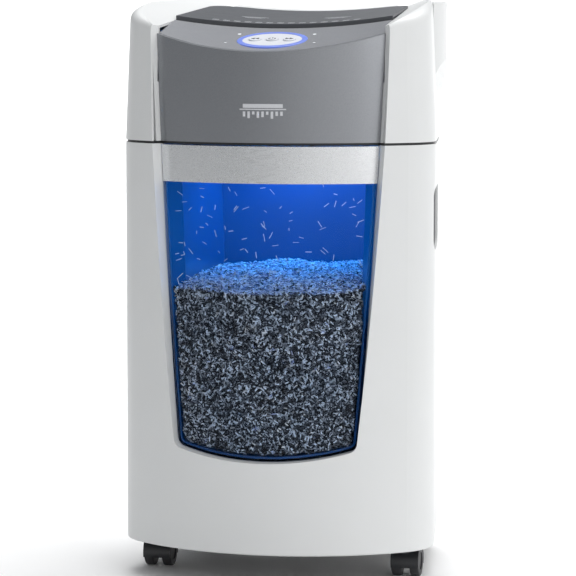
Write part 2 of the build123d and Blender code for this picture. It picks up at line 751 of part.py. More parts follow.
with BuildPart() as head_ears:
    add(head_form.part)
    add(ear_cavity.part, mode=Mode.SUBTRACT)
    add(head_collar.part)
    add(ear_dish(0), mode=Mode.SUBTRACT)
    add(front_opening, mode=Mode.SUBTRACT)
    add(pocket_block(0, POCKET_FOOT), mode=Mode.SUBTRACT)

with BuildPart() as rear_zone:
    with BuildSketch(Plane.XY.offset(DECK_TOP)):
        with Locations((0, BACK_SPLIT)):
            Rectangle(2 * REAR_COVER_HALF, DEPTH, align=(Align.CENTER, Align.MIN))
    extrude(amount=HEIGHT)

for side, name in ((-1, "ear_left"), (1, "ear_right")):
    with BuildPart() as half:
        with Locations((side * WIDTH / 2, 0, HEIGHT / 2)):
            Box(WIDTH, 2 * DEPTH, 2 * HEIGHT)
    with BuildPart() as ear:
        add(head_ears.part)
        add(rear_zone.part, mode=Mode.SUBTRACT)
        add(half.part, mode=Mode.INTERSECT)
    save(ear, name)

# ---- rear cover with the power inlet and the main switch --------------------------------------------
INLET_X = -58.0
SWITCH_X = -14.0
REAR_FIT_Z = HEIGHT - 138.0
COVER_VENT = (52.0, HEIGHT - 125.0)
COVER_VENT_ROWS = 7
COVER_VENT_PITCH = 9.0
COVER_VENT_LENGTH = 58.0
COVER_VENT_OPEN = 4.0
INLET_HALF = (14.0, 11.0)
SWITCH_HALF = (10.0, 15.0)
FIT_PLAY = 0.3
FIT_REAR = DEPTH / 2 - 1.6
SOCKET_DEEP = 17.0
SOCKET_HALF = (11.4, 8.2)
ROCKER_Y = DEPTH / 2 - 11.0
ROCKER_HALF = (7.0, 9.0)
ROCKER_FACE = 9.0
ROCKER_NOTCH = 6.6
ROCKER_REST = -8.0

with BuildPart() as rear_cavity:
    add(head_block(WALL, DECK_TOP, HEIGHT - WALL))
    add(inlet_dish(WALL, 0, DEPTH), mode=Mode.SUBTRACT)

with BuildPart() as head_rear_cover:
    add(head_block(0, DECK_TOP, HEIGHT))
    add(rear_cavity.part, mode=Mode.SUBTRACT)
    add(inlet_dish(0, 0, DEPTH), mode=Mode.SUBTRACT)
    add(rear_zone.part, mode=Mode.INTERSECT)
    add(pocket_block(0, POCKET_FOOT), mode=Mode.SUBTRACT)
    with BuildSketch(Plane.XZ.offset(-DEPTH / 2 - 1)):
        with Locations((INLET_X, REAR_FIT_Z)):
            Rectangle(2 * (INLET_HALF[0] + FIT_PLAY), 2 * (INLET_HALF[1] + FIT_PLAY))
        with Locations((SWITCH_X, REAR_FIT_Z)):
            Rectangle(2 * (SWITCH_HALF[0] + FIT_PLAY), 2 * (SWITCH_HALF[1] + FIT_PLAY))
        with Locations(COVER_VENT):
            with GridLocations(0, COVER_VENT_PITCH, 1, COVER_VENT_ROWS):
                SlotOverall(COVER_VENT_LENGTH, COVER_VENT_OPEN)
    extrude(amount=20, mode=Mode.SUBTRACT)
save(head_rear_cover, "head_rear_cover")

with BuildPart() as power_inlet:
    with BuildSketch(Plane.XZ.offset(-FIT_REAR)):
        with Locations((INLET_X, REAR_FIT_Z)):
            Rectangle(2 * INLET_HALF[0], 2 * INLET_HALF[1])
    extrude(amount=SOCKET_DEEP + 5)
    with BuildSketch(Plane.XZ.offset(-FIT_REAR + 4.0)):
        with Locations((INLET_X, REAR_FIT_Z)):
            Rectangle(2 * INLET_HALF[0] + 12, 2 * INLET_HALF[1] + 5)
    extrude(amount=2.0)
    with BuildSketch(Plane.XZ.offset(-FIT_REAR)):
        with Locations((INLET_X, REAR_FIT_Z)):
            Rectangle(2 * SOCKET_HALF[0], 2 * SOCKET_HALF[1])
    extrude(amount=SOCKET_DEEP, mode=Mode.SUBTRACT)
    with BuildSketch(Plane.XZ.offset(-FIT_REAR + SOCKET_DEEP)):
        for pin_x, pin_z in ((-7.0, -2.0), (0.0, 2.0), (7.0, -2.0)):
            with Locations((INLET_X + pin_x, REAR_FIT_Z + pin_z)):
                Rectangle(2.0, 4.0)
    extrude(amount=-(SOCKET_DEEP - 3))
save(power_inlet, "power_inlet")

ROCKER_PIN = 1.2
FRAME_DEEP = 24.0
rocker_plane = Plane(
    origin=(SWITCH_X - ROCKER_HALF[0], ROCKER_Y, REAR_FIT_Z),
    x_dir=(0, cos(radians(ROCKER_REST)), sin(radians(ROCKER_REST))),
    z_dir=(1, 0, 0),
)

with BuildPart() as switch_frame:
    with BuildSketch(Plane.XZ.offset(-FIT_REAR)):
        with Locations((SWITCH_X, REAR_FIT_Z)):
            Rectangle(2 * SWITCH_HALF[0], 2 * SWITCH_HALF[1])
    extrude(amount=FRAME_DEEP)
    with BuildSketch(Plane.XZ.offset(-FIT_REAR)):
        with Locations((SWITCH_X, REAR_FIT_Z)):
            Rectangle(2 * ROCKER_HALF[0] + 1.0, 2 * ROCKER_HALF[1] + 8.5)
    extrude(amount=FRAME_DEEP - 2.0, mode=Mode.SUBTRACT)
    with BuildSketch(rocker_plane.offset(-2.0)):
        Circle(ROCKER_PIN + RUN_PLAY)
    extrude(amount=2 * ROCKER_HALF[0] + 4.0, mode=Mode.SUBTRACT)
save(switch_frame, "switch_frame")

with BuildPart() as rocker_switch:
    with BuildSketch(rocker_plane):
        Polygon(
            (ROCKER_FACE, ROCKER_HALF[1]),
            (ROCKER_NOTCH, 0),
            (ROCKER_FACE, -ROCKER_HALF[1]),
            (-2.0, -ROCKER_HALF[1] + 3.0),
            (-6.0, 0),
            (-2.0, ROCKER_HALF[1] - 3.0),
            align=None,
        )
    extrude(amount=2 * ROCKER_HALF[0])
    with BuildSketch(rocker_plane.offset(-1.8)):
        Circle(ROCKER_PIN)
    extrude(amount=2 * ROCKER_HALF[0] + 3.6)
save(rocker_switch, "rocker_switch")

# ---- fascia and top panels --------------------------------------------------------------------------
GROOVE = 0.9
LIP_DROP = 6.0
LIP_WIDTH = 3.0
control_start = FRONT - 5
control_length = 190.0
control_above = dish(DISH_RADIUS, panel_height(control_start), PANEL_SLOPE, control_start, control_length)

with BuildPart() as front_fascia:
    add(ring(RECESS, RECESS + FRONT_SKIN, DECK_TOP, HEIGHT))
    add(opening_tool(GAP), mode=Mode.INTERSECT)
    add(behind(0), mode=Mode.SUBTRACT)
    add(control_above, mode=Mode.SUBTRACT)
save(front_fascia, "front_fascia")

panel_tilt_plane = Plane(
    origin=(0, BUTTONS_Y, panel_height(BUTTONS_Y)),
    x_dir=(1, 0, 0),
    z_dir=(0, -sin(radians(PANEL_TILT)), cos(radians(PANEL_TILT))),
)
ICON_SPOTS = ((-54.0, -14.0), (54.0, -14.0), (-46.0, 27.0), (46.0, 27.0))
ICON_RADIUS = 2.2

with BuildPart() as panel_zone:
    add(opening_tool(GAP))
    add(pocket_block(GAP, POCKET_FOOT))

control_plan = casing_plan(RECESS + FRONT_SKIN + GROOVE)
with BuildPart() as control_panel:
    add(dish(DISH_RADIUS, panel_height(control_start), PANEL_SLOPE, control_start, control_length, PANEL_THICK))
    add(panel_zone.part, mode=Mode.INTERSECT)
    with BuildSketch(Plane.XY.offset(POCKET_FOOT)):
        add(control_plan)
    extrude(amount=HEIGHT, mode=Mode.INTERSECT)
    add(behind(SLOT_Y - SLOT_GAP / 2), mode=Mode.SUBTRACT)
    with BuildSketch(panel_tilt_plane.offset(-10)):
        Ellipse(*RING_HALF)
        for spot in ICON_SPOTS:
            with Locations(spot):
                Circle(ICON_RADIUS)
    extrude(amount=20, mode=Mode.SUBTRACT)
save(control_panel, "control_panel")

with BuildPart() as light_ring:
    with BuildSketch(panel_tilt_plane.offset(-2.5)):
        Ellipse(*RING_HALF)
        Ellipse(*BEZEL_HALF, mode=Mode.SUBTRACT)
    extrude(amount=4.1)
    fillet(light_ring.edges().group_by(Axis.Z)[-1], 1.0)
save(light_ring, "light_ring")

with BuildPart() as button_bezel:
    with BuildSketch(panel_tilt_plane.offset(-2.5)):
        Ellipse(*BEZEL_HALF)
        with GridLocations(BUTTON_PITCH, 0, 3, 1):
            Circle(BUTTON_RADIUS + BUTTON_PLAY, mode=Mode.SUBTRACT)
    extrude(amount=3.7)
save(button_bezel, "button_bezel")

for step, name in ((-1, "button_reverse"), (0, "button_power"), (1, "button_forward")):
    with BuildPart() as button:
        with BuildSketch(panel_tilt_plane.offset(-BUTTON_DEEP)):
            with Locations((step * BUTTON_PITCH, 0)):
                Circle(BUTTON_RADIUS)
        extrude(amount=BUTTON_DEEP + BUTTON_STAND)
        fillet(button.edges().group_by(Axis.Z)[-1], 0.8)
    save(button, name)

with BuildPart() as status_icons:
    with BuildSketch(panel_tilt_plane.offset(-4.0)):
        for spot in ICON_SPOTS:
            with Locations(spot):
                Circle(ICON_RADIUS)
    extrude(amount=5.2)
save(status_icons, "status_icons")

slot_rear = SLOT_Y + SLOT_GAP / 2
with BuildPart() as inlet_lip:
    add(inlet_dish(0, slot_rear, LIP_WIDTH, PANEL_THICK + LIP_DROP))
    add(pocket_block(GAP, POCKET_FOOT), mode=Mode.INTERSECT)

with BuildPart() as inlet_panel:
    add(inlet_dish(0, slot_rear, DEPTH, PANEL_THICK))
    add(pocket_block(GAP, POCKET_FOOT), mode=Mode.INTERSECT)
    add(inlet_lip.part)
save(inlet_panel, "inlet_panel")

# =====================================================================================================
# Cutting block: side plates, shafts with cutting discs, strippers, gears and motor
# =====================================================================================================
PLATE_OUT = PLATE_HALF + PLATE_THICK
TIE_HIGH = HEIGHT - 82.0
TIE_SPOTS = ((-84.0, TIE_HIGH), (20.0, TIE_HIGH), (36.0, DECK_BOTTOM + 13.5))
TIE_RADIUS = 4.0
BUSH_FLANGE = 2.0
BUSH_PLAY = 0.05
DISC_SIDE_PLAY = 2.0
SYNC_X = PLATE_OUT + BUSH_FLANGE + GEAR_FACE
DRIVE_X = SYNC_X + GEAR_WIDTH + GEAR_FACE
STAGE_ONE_X = DRIVE_X + GEAR_WIDTH + GEAR_FACE
STAGE_TWO_X = STAGE_ONE_X + GEAR_WIDTH + GEAR_FACE
GEAR_END_X = STAGE_TWO_X + GEAR_WIDTH
MOTOR_SHAFT_RADIUS = 3.0
MOTOR_BOSS_RADIUS = 12.0
side_section = Plane(origin=(0, 0, 0), x_dir=(0, 1, 0), z_dir=(1, 0, 0))


def across(x):
    """The plane across the machine at x: its own X is depth and its own Y is height."""
    return side_section.offset(x)


for side, name in ((-1, "side_plate_left"), (1, "side_plate_right")):
    with BuildPart() as plate:
        with BuildSketch(across(PLATE_HALF if side > 0 else -PLATE_OUT)):
            with BuildLine():
                Polyline(
                    (PLATE_FRONT, PLATE_FOOT),
                    (PLATE_REAR, PLATE_FOOT),
                    (PLATE_REAR, PLATE_TOP - 12),
                    (PLATE_REAR - 12, PLATE_TOP),
                    (PLATE_FRONT + 12, PLATE_TOP),
                    (PLATE_FRONT, PLATE_TOP - 12),
                    close=True,
                )
            make_face()
            with Locations((SHAFT_FRONT_Y, SHAFT_Z), (SHAFT_REAR_Y, SHAFT_Z)):
                Circle(BUSH_RADIUS, mode=Mode.SUBTRACT)
            with Locations(*TIE_SPOTS):
                Circle(TIE_RADIUS - 1.0, mode=Mode.SUBTRACT)
            if side > 0:
                with Locations((PIN_ONE_Y, SHAFT_Z), (PIN_TWO_Y, SHAFT_Z)):
                    Circle(GEAR_PIN_RADIUS, mode=Mode.SUBTRACT)
                with Locations((MOTOR_Y, SHAFT_Z)):
                    Circle(MOTOR_BOSS_RADIUS, mode=Mode.SUBTRACT)
        extrude(amount=PLATE_THICK)
    save(plate, name)

with BuildPart() as tie_rods:
    with BuildSketch(across(-PLATE_HALF)):
        with Locations(*TIE_SPOTS):
            Circle(TIE_RADIUS)
    extrude(amount=2 * PLATE_HALF)
    with BuildSketch(across(-PLATE_OUT - 3)):
        with Locations(*TIE_SPOTS):
            Circle(TIE_RADIUS - 1.0)
    extrude(amount=2 * PLATE_OUT + 6)
save(tie_rods, "tie_rods")

with BuildPart() as shaft_bushes:
    for shaft_y in (SHAFT_FRONT_Y, SHAFT_REAR_Y):
        for side in (1, -1):
            inner_face = side * PLATE_HALF
            with BuildSketch(across(inner_face)):
                with Locations((shaft_y, SHAFT_Z)):
                    Circle(BUSH_RADIUS)
                    Circle(JOURNAL_RADIUS + BUSH_PLAY, mode=Mode.SUBTRACT)
            extrude(amount=side * PLATE_THICK)
            with BuildSketch(across(inner_face + side * PLATE_THICK)):
                with Locations((shaft_y, SHAFT_Z)):
                    Circle(BUSH_RADIUS + BUSH_FLANGE)
                    Circle(JOURNAL_RADIUS + BUSH_PLAY, mode=Mode.SUBTRACT)
            extrude(amount=side * BUSH_FLANGE)
save(shaft_bushes, "shaft_bushes")

disc_span = (DISC_COUNT - 1) * DISC_PITCH
shafts = (
    ("front", SHAFT_FRONT_Y, -DISC_PITCH / 4, SYNC_X + GEAR_WIDTH, 0.0),
    ("rear", SHAFT_REAR_Y, DISC_PITCH / 4, DRIVE_X + GEAR_WIDTH, 30.0),
)
for row, shaft_y, shift, right_end, turn in shafts:
    with BuildPart() as cutter_shaft:
        with BuildSketch(across(-PLATE_HALF + DISC_SIDE_PLAY)):
            with Locations((shaft_y, SHAFT_Z)):
                Circle(SHAFT_RADIUS)
        extrude(amount=2 * (PLATE_HALF - DISC_SIDE_PLAY))
        with BuildSketch(across(-PLATE_OUT - 6)):
            with Locations((shaft_y, SHAFT_Z)):
                Circle(JOURNAL_RADIUS)
        extrude(amount=PLATE_OUT + 6 + right_end)
    save(cutter_shaft, f"cutter_shaft_{row}")

    with BuildPart() as cutter_discs:
        for number in range(DISC_COUNT):
            disc_x = number * DISC_PITCH - disc_span / 2 + shift - DISC_THICK / 2
            with BuildSketch(across(disc_x)):
                with Locations((shaft_y, SHAFT_Z)):
                    Circle(DISC_RADIUS)
                    with PolarLocations(DISC_RADIUS, 5, start_angle=turn + 14.4 * number):
                        Rectangle(3.2, 6.0, rotation=20, mode=Mode.SUBTRACT)
                    Circle(SHAFT_RADIUS, mode=Mode.SUBTRACT)
            extrude(amount=DISC_THICK)
    save(cutter_discs, f"cutter_discs_{row}")

STRIP_PLAY = 0.5
STRIP_REACH = 1.5
STRIP_HEIGHT = 12.0
STRIP_BAR = 5.0
with BuildPart() as strippers:
    finger = DISC_PITCH - DISC_THICK - 2 * STRIP_PLAY
    for row, shaft_y, shift, right_end, turn in shafts:
        away = -1 if row == "front" else 1
        tip = shaft_y + away * (SHAFT_RADIUS + STRIP_REACH)
        bar = shaft_y + away * (DISC_RADIUS + STRIP_REACH)
        first = shift - disc_span / 2 - DISC_PITCH / 2
        for number in range(DISC_COUNT + 1):
            finger_x = first + number * DISC_PITCH
            with Locations((finger_x, (tip + bar) / 2, SHAFT_Z)):
                Box(finger, abs(bar - tip), STRIP_HEIGHT)
        with Locations((0, bar + away * STRIP_BAR / 2, SHAFT_Z)):
            Box(2 * PLATE_HALF, STRIP_BAR, STRIP_HEIGHT)
save(strippers, "strippers")

GUIDE_THICK = 1.5
GUIDE_FOOT = HEIGHT - 91.0
GUIDE_PLAY = 1.0
FLAG_CUT = 20.0               # window in both guides for the paper flag
guide_half = SLOT_WIDTH / 2 + 3
with BuildPart() as throat_guides:
    front_top = panel_height(SLOT_Y - SLOT_GAP / 2 - GUIDE_THICK) - PANEL_THICK - GUIDE_PLAY
    rear_top = inlet_height(SLOT_Y) - PANEL_THICK - LIP_DROP - GUIDE_PLAY
    for away, guide_top in ((-1, front_top), (1, rear_top)):
        guide_y = SLOT_Y + away * (SLOT_GAP / 2 + GUIDE_THICK / 2)
        with Locations((0, guide_y, (GUIDE_FOOT + guide_top) / 2)):
            Box(2 * guide_half, GUIDE_THICK, guide_top - GUIDE_FOOT)
        foot_length = abs(TIE_SPOTS[0][0] - guide_y) if away < 0 else TIE_SPOTS[1][0] - guide_y
        for side in (1, -1):
            with Locations((side * (guide_half - 4), guide_y + away * foot_length / 2, 0)):
                with Locations((0, 0, TIE_SPOTS[0][1] + TIE_RADIUS + 1.0)):
                    Box(8, foot_length, 2.0)
    with Locations((0, SLOT_Y, 0)):
        with Locations((FLAG_X, 0, FLAG_Z)):
            Box(FLAG_WIDTH + 2, FLAG_CUT, FLAG_CUT, mode=Mode.SUBTRACT)
save(throat_guides, "throat_guides")

FLAG_HUB = 3.0
FLAG_PIN = 1.5
FLAG_TAIL = 16.0
with BuildPart() as paper_flag:
    flag_plane = across(FLAG_X - FLAG_WIDTH / 2)
    with BuildSketch(flag_plane):
        with BuildLine():
            Polyline(
                (FLAG_Y - 2.5, FLAG_Z),
                (FLAG_Y + 2.5, FLAG_Z),
                (FLAG_Y + 2.5, FLAG_Z - FLAG_TAIL),
                (FLAG_Y - 1.0, FLAG_Z - FLAG_TAIL),
                close=True,
            )
        make_face()
        with Locations((FLAG_Y, FLAG_Z)):
            Circle(FLAG_HUB)
        with BuildLine():
            Polyline(
                (FLAG_Y, FLAG_Z - 2.0),
                (FLAG_Y, FLAG_Z + 2.0),
                (SLOT_Y - 1.0, FLAG_Z + 3.5),
                (SLOT_Y - 1.0, FLAG_Z + 1.0),
                close=True,
            )
        make_face()
        with Locations((FLAG_Y, FLAG_Z)):
            Circle(FLAG_PIN + RUN_PLAY, mode=Mode.SUBTRACT)
    extrude(amount=FLAG_WIDTH)
save(paper_flag, "paper_flag")

with BuildPart() as flag_bracket:
    with BuildSketch(across(FLAG_X - FLAG_WIDTH / 2 - 4)):
        with Locations((FLAG_Y, FLAG_Z)):
            Circle(FLAG_PIN)
    extrude(amount=FLAG_WIDTH + 8)
    for side in (1, -1):
        with Locations((FLAG_X + side * (FLAG_WIDTH / 2 + 2.5), FLAG_Y + 1, FLAG_Z - 8)):
            Box(3, 9, 22)
    with Locations((FLAG_X, FLAG_Y + 12, FLAG_Z - 18)):
        Box(FLAG_WIDTH + 8, 31, 2)
save(flag_bracket, "flag_bracket")

# ---- gear train on the right ------------------------------------------------------------------------
half_sync = 180 / SYNC_TEETH
with BuildPart() as sync_gear_front:
    add(gear(SYNC_TEETH, SYNC_MODULE, GEAR_WIDTH, JOURNAL_RADIUS, SYNC_X, SHAFT_FRONT_Y, SHAFT_Z, 0.0))
save(sync_gear_front, "sync_gear_front")

with BuildPart() as sync_gear_rear:
    add(gear(SYNC_TEETH, SYNC_MODULE, GEAR_WIDTH, JOURNAL_RADIUS, SYNC_X, SHAFT_REAR_Y, SHAFT_Z, half_sync))
save(sync_gear_rear, "sync_gear_rear")

with BuildPart() as drive_gear:
    add(gear(DRIVE_TEETH, DRIVE_MODULE, GEAR_WIDTH, JOURNAL_RADIUS, DRIVE_X, SHAFT_REAR_Y, SHAFT_Z, 0.0))
save(drive_gear, "drive_gear")

pin_bore = GEAR_PIN_RADIUS + RUN_PLAY
with BuildPart() as compound_gear_one:
    turn_one = 180 - 180 / PINION_ONE_TEETH
    add(gear(PINION_ONE_TEETH, DRIVE_MODULE, PINION_WIDTH, pin_bore, DRIVE_X, PIN_ONE_Y, SHAFT_Z, turn_one))
    add(gear(WHEEL_ONE_TEETH, WHEEL_ONE_MODULE, GEAR_WIDTH, pin_bore, STAGE_ONE_X, PIN_ONE_Y, SHAFT_Z, 0.0))
save(compound_gear_one, "compound_gear_one")

with BuildPart() as compound_gear_two:
    turn_two = 180 - 180 / PINION_TWO_TEETH
    stage = (STAGE_ONE_X, PIN_TWO_Y, SHAFT_Z)
    add(gear(PINION_TWO_TEETH, WHEEL_ONE_MODULE, PINION_WIDTH, pin_bore, *stage, turn_two))
    add(gear(WHEEL_TWO_TEETH, WHEEL_TWO_MODULE, GEAR_WIDTH, pin_bore, STAGE_TWO_X, PIN_TWO_Y, SHAFT_Z, 0.0))
save(compound_gear_two, "compound_gear_two")

with BuildPart() as gear_pins:
    for pin_y, pin_end in ((PIN_ONE_Y, STAGE_ONE_X + GEAR_WIDTH), (PIN_TWO_Y, GEAR_END_X)):
        with BuildSketch(across(PLATE_HALF)):
            with Locations((pin_y, SHAFT_Z)):
                Circle(GEAR_PIN_RADIUS)
        extrude(amount=pin_end - PLATE_HALF)
save(gear_pins, "gear_pins")

# ---- motor ------------------------------------------------------------------------------------------
MOTOR_WALL = 3.0
MOTOR_FEET_HALF = 34.0
with BuildPart() as motor_housing:
    with BuildSketch(across(PLATE_HALF - MOTOR_LENGTH)):
        with Locations((MOTOR_Y, SHAFT_Z)):
            Circle(MOTOR_RADIUS)
    extrude(amount=MOTOR_LENGTH)
    with BuildSketch(across(PLATE_HALF)):
        with Locations((MOTOR_Y, SHAFT_Z)):
            Circle(MOTOR_BOSS_RADIUS)
    extrude(amount=PLATE_THICK)
    with Locations((PLATE_HALF - MOTOR_LENGTH / 2, MOTOR_Y, (DECK_TOP + SHAFT_Z - MOTOR_RADIUS + 4) / 2)):
        Box(MOTOR_LENGTH - 30, MOTOR_FEET_HALF, SHAFT_Z - MOTOR_RADIUS + 4 - DECK_TOP)
    with BuildSketch(across(PLATE_HALF - MOTOR_LENGTH)):
        with Locations((MOTOR_Y, SHAFT_Z)):
            Circle(MOTOR_RADIUS - MOTOR_WALL)
    extrude(amount=MOTOR_LENGTH - MOTOR_WALL, mode=Mode.SUBTRACT)
    with BuildSketch(across(PLATE_HALF - 2 * MOTOR_WALL)):
        with Locations((MOTOR_Y, SHAFT_Z)):
            Circle(MOTOR_SHAFT_RADIUS + RUN_PLAY)
    extrude(amount=4 * MOTOR_WALL, mode=Mode.SUBTRACT)
save(motor_housing, "motor_housing")

with BuildPart() as motor_rotor:
    motor_phase = 180 - 180 / MOTOR_TEETH
    with BuildSketch(across(PLATE_HALF - MOTOR_LENGTH - 12)):
        with Locations((MOTOR_Y, SHAFT_Z)):
            Circle(MOTOR_SHAFT_RADIUS)
    extrude(amount=MOTOR_LENGTH + 12 + STAGE_TWO_X - PLATE_HALF)
    with BuildSketch(across(PLATE_HALF - MOTOR_LENGTH + 18)):
        with Locations((MOTOR_Y, SHAFT_Z)):
            Circle(MOTOR_RADIUS - MOTOR_WALL - 6)
    extrude(amount=MOTOR_LENGTH - 36)
    with BuildSketch(across(PLATE_HALF - MOTOR_LENGTH - 12)):
        with Locations((MOTOR_Y, SHAFT_Z)):
            Circle(8.0)
            with PolarLocations(15.0, 8):
                Rectangle(18.0, 2.2)
    extrude(amount=9.0)
    add(gear(MOTOR_TEETH, WHEEL_TWO_MODULE, GEAR_WIDTH, 0.5, STAGE_TWO_X, MOTOR_Y, SHAFT_Z, motor_phase))
save(motor_rotor, "motor_rotor")

STANDING = (Align.CENTER, Align.CENTER, Align.MIN)
CAN_RADIUS = 17.0
CAN_HEIGHT = 62.0
CAN_SPOT = (-60.0, 62.0, DECK_TOP)
with BuildPart() as capacitor:
    with Locations(CAN_SPOT):
        Cylinder(CAN_RADIUS, CAN_HEIGHT, align=STANDING)
    fillet(capacitor.edges().group_by(Axis.Z)[-1], 3.0)
save(capacitor, "capacitor")

BOARD_Y = -118.0
BOARD = (120.0, 1.6, 70.0)
RELAY = (24.0, 4.0, 20.0)
SUPPLY = (18.0, 6.0, 22.0)
with BuildPart() as control_board:
    with Locations((0, BOARD_Y, DECK_TOP)):
        Box(*BOARD, align=STANDING)
    with Locations((-30.0, BOARD_Y + (BOARD[1] + RELAY[1]) / 2, DECK_TOP + 20)):
        Box(*RELAY, align=STANDING)
    with Locations((28.0, BOARD_Y + (BOARD[1] + SUPPLY[1]) / 2, DECK_TOP + 24)):
        Box(*SUPPLY, align=STANDING)
save(control_board, "control_board")

SENSOR = (14.0, 8.0, 12.0)
SENSOR_LEG = (2.0, 8.0, 7.0)
with BuildPart() as interlock_switch:
    with Locations((PLUNGER_X, PLUNGER_Y, DECK_TOP + SENSOR_LEG[2])):
        Box(*SENSOR, align=STANDING)
    for side in (1, -1):
        with Locations((PLUNGER_X + side * (SENSOR[0] - SENSOR_LEG[0]) / 2, PLUNGER_Y, DECK_TOP)):
            Box(*SENSOR_LEG, align=STANDING)
save(interlock_switch, "interlock_switch")

with BuildPart() as interlock_plunger:
    with BuildSketch(Plane.XY.offset(BAND_TOP + 0.5)):
        with Locations((PLUNGER_X, PLUNGER_Y)):
            Circle(PLUNGER_RADIUS)
    extrude(amount=DECK_TOP + 4 - BAND_TOP - 0.5)
save(interlock_plunger, "interlock_plunger")

STRIP = (180.0, 12.0, 4.0)
STRIP_Y = 40.0
with BuildPart() as led_strip:
    with Locations((0, STRIP_Y, DECK_BOTTOM - STRIP[2])):
        Box(*STRIP, align=STANDING)
save(led_strip, "led_strip")

with BuildPart() as back_screws:
    with BuildSketch(Plane.XZ.offset(-DEPTH / 2)):
        for screw_z in SCREW_ROWS:
            with Locations((-SCREW_X, screw_z), (SCREW_X, screw_z)):
                Circle(SCREW_HEAD)
    extrude(amount=SCREW_SINK)
    with BuildSketch(Plane.XZ.offset(-DEPTH / 2)):
        for screw_z in SCREW_ROWS:
            with Locations((-SCREW_X, screw_z), (SCREW_X, screw_z)):
                Circle(SCREW_HEAD / 2)
    extrude(amount=12.0)
    with BuildSketch(Plane.XZ.offset(-DEPTH / 2)):
        for screw_z in SCREW_ROWS:
            with Locations((-SCREW_X, screw_z), (SCREW_X, screw_z)):
                Rectangle(4.4, 1.0)
                Rectangle(1.0, 4.4)
    extrude(amount=1.0, mode=Mode.SUBTRACT)
save(back_screws, "back_screws")
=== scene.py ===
import json
import math
import random

import bmesh
import bpy
from mathutils import Matrix, Vector
from mathutils.bvhtree import BVHTree


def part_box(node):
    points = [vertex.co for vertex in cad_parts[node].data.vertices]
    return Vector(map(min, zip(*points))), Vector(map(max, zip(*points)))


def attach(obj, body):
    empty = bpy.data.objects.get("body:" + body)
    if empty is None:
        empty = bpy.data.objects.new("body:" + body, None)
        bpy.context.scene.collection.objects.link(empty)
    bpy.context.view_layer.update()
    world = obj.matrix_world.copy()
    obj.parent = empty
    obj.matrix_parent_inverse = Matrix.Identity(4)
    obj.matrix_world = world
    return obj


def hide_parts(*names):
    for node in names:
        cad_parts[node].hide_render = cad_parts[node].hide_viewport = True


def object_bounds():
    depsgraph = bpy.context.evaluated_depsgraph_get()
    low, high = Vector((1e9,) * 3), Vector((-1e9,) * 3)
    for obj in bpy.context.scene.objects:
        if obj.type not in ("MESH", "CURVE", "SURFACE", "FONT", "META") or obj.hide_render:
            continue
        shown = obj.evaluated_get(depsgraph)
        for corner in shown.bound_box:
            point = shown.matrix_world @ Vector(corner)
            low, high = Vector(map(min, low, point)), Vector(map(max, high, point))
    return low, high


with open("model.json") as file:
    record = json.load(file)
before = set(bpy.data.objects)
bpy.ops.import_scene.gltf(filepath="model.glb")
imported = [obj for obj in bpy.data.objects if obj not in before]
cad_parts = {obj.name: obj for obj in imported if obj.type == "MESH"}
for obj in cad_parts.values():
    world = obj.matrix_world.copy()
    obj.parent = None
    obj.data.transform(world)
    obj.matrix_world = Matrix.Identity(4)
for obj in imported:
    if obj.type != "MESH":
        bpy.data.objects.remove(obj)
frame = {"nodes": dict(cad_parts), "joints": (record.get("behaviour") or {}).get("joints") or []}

cad_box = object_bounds()
MM = 0.001
nodes = frame["nodes"]
joints = {joint["name"]: joint for joint in frame["joints"]}
rng = random.Random(11)


# ---------------------------------------------------------------------------------------------------
# Material helpers
# ---------------------------------------------------------------------------------------------------
def new_material(name):
    """A node material and its Principled shader."""
    material = bpy.data.materials.new(name)
    material.use_nodes = True
    shader = material.node_tree.nodes["Principled BSDF"]
    return material, shader


def add_node(material, kind, **values):
    """A node with its properties set."""
    node = material.node_tree.nodes.new(kind)
    for key, value in values.items():
        setattr(node, key, value)
    return node


def link(material, source, target):
    """Join two sockets."""
    material.node_tree.links.new(source, target)


def object_coordinates(material, scale=(1, 1, 1)):
    """Object coordinates in metres, scaled along each axis."""
    coordinates = add_node(material, "ShaderNodeTexCoord")
    mapping = add_node(material, "ShaderNodeMapping")
    mapping.inputs["Scale"].default_value = scale
    link(material, coordinates.outputs["Object"], mapping.inputs["Vector"])
    return mapping.outputs["Vector"]


def noise(material, vector, scale, detail=3.0, roughness=0.55):
    """A noise value between 0 and 1."""
    node = add_node(material, "ShaderNodeTexNoise")
    node.inputs["Scale"].default_value = scale
    node.inputs["Detail"].default_value = detail
    node.inputs["Roughness"].default_value = roughness
    link(material, vector, node.inputs["Vector"])
    return node.outputs["Fac"]


def ramp(material, value, stops):
    """A colour ramp over a value: stops are (position, colour)."""
    node = add_node(material, "ShaderNodeValToRGB")
    elements = node.color_ramp.elements
    while len(elements) < len(stops):
        elements.new(0.5)
    for element, (position, colour) in zip(elements, stops):
        element.position = position
        element.color = (*colour, 1.0)
    link(material, value, node.inputs["Fac"])
    return node.outputs["Color"]


def shade(colour, factor):
    """A colour made lighter or darker."""
    return tuple(min(1.0, channel * factor) for channel in colour)


def bump(material, shader, height, strength, distance):
    """Surface relief from a height value."""
    node = add_node(material, "ShaderNodeBump")
    node.inputs["Strength"].default_value = strength
    node.inputs["Distance"].default_value = distance
    link(material, height, node.inputs["Height"])
    link(material, node.outputs["Normal"], shader.inputs["Normal"])


def value_range(material, value, low, high):
    """Spread a 0 to 1 value between two numbers."""
    node = add_node(material, "ShaderNodeMapRange")
    node.inputs["To Min"].default_value = low
    node.inputs["To Max"].default_value = high
    link(material, value, node.inputs["Value"])
    return node.outputs["Result"]


def base_tones(material, shader, value, dark, light, spread=0.2):
    """Base colour that drifts between two tones with a value."""
    tones = ramp(material, value, [(0.5 - spread, dark), (0.5 + spread, light)])
    link(material, tones, shader.inputs["Base Color"])


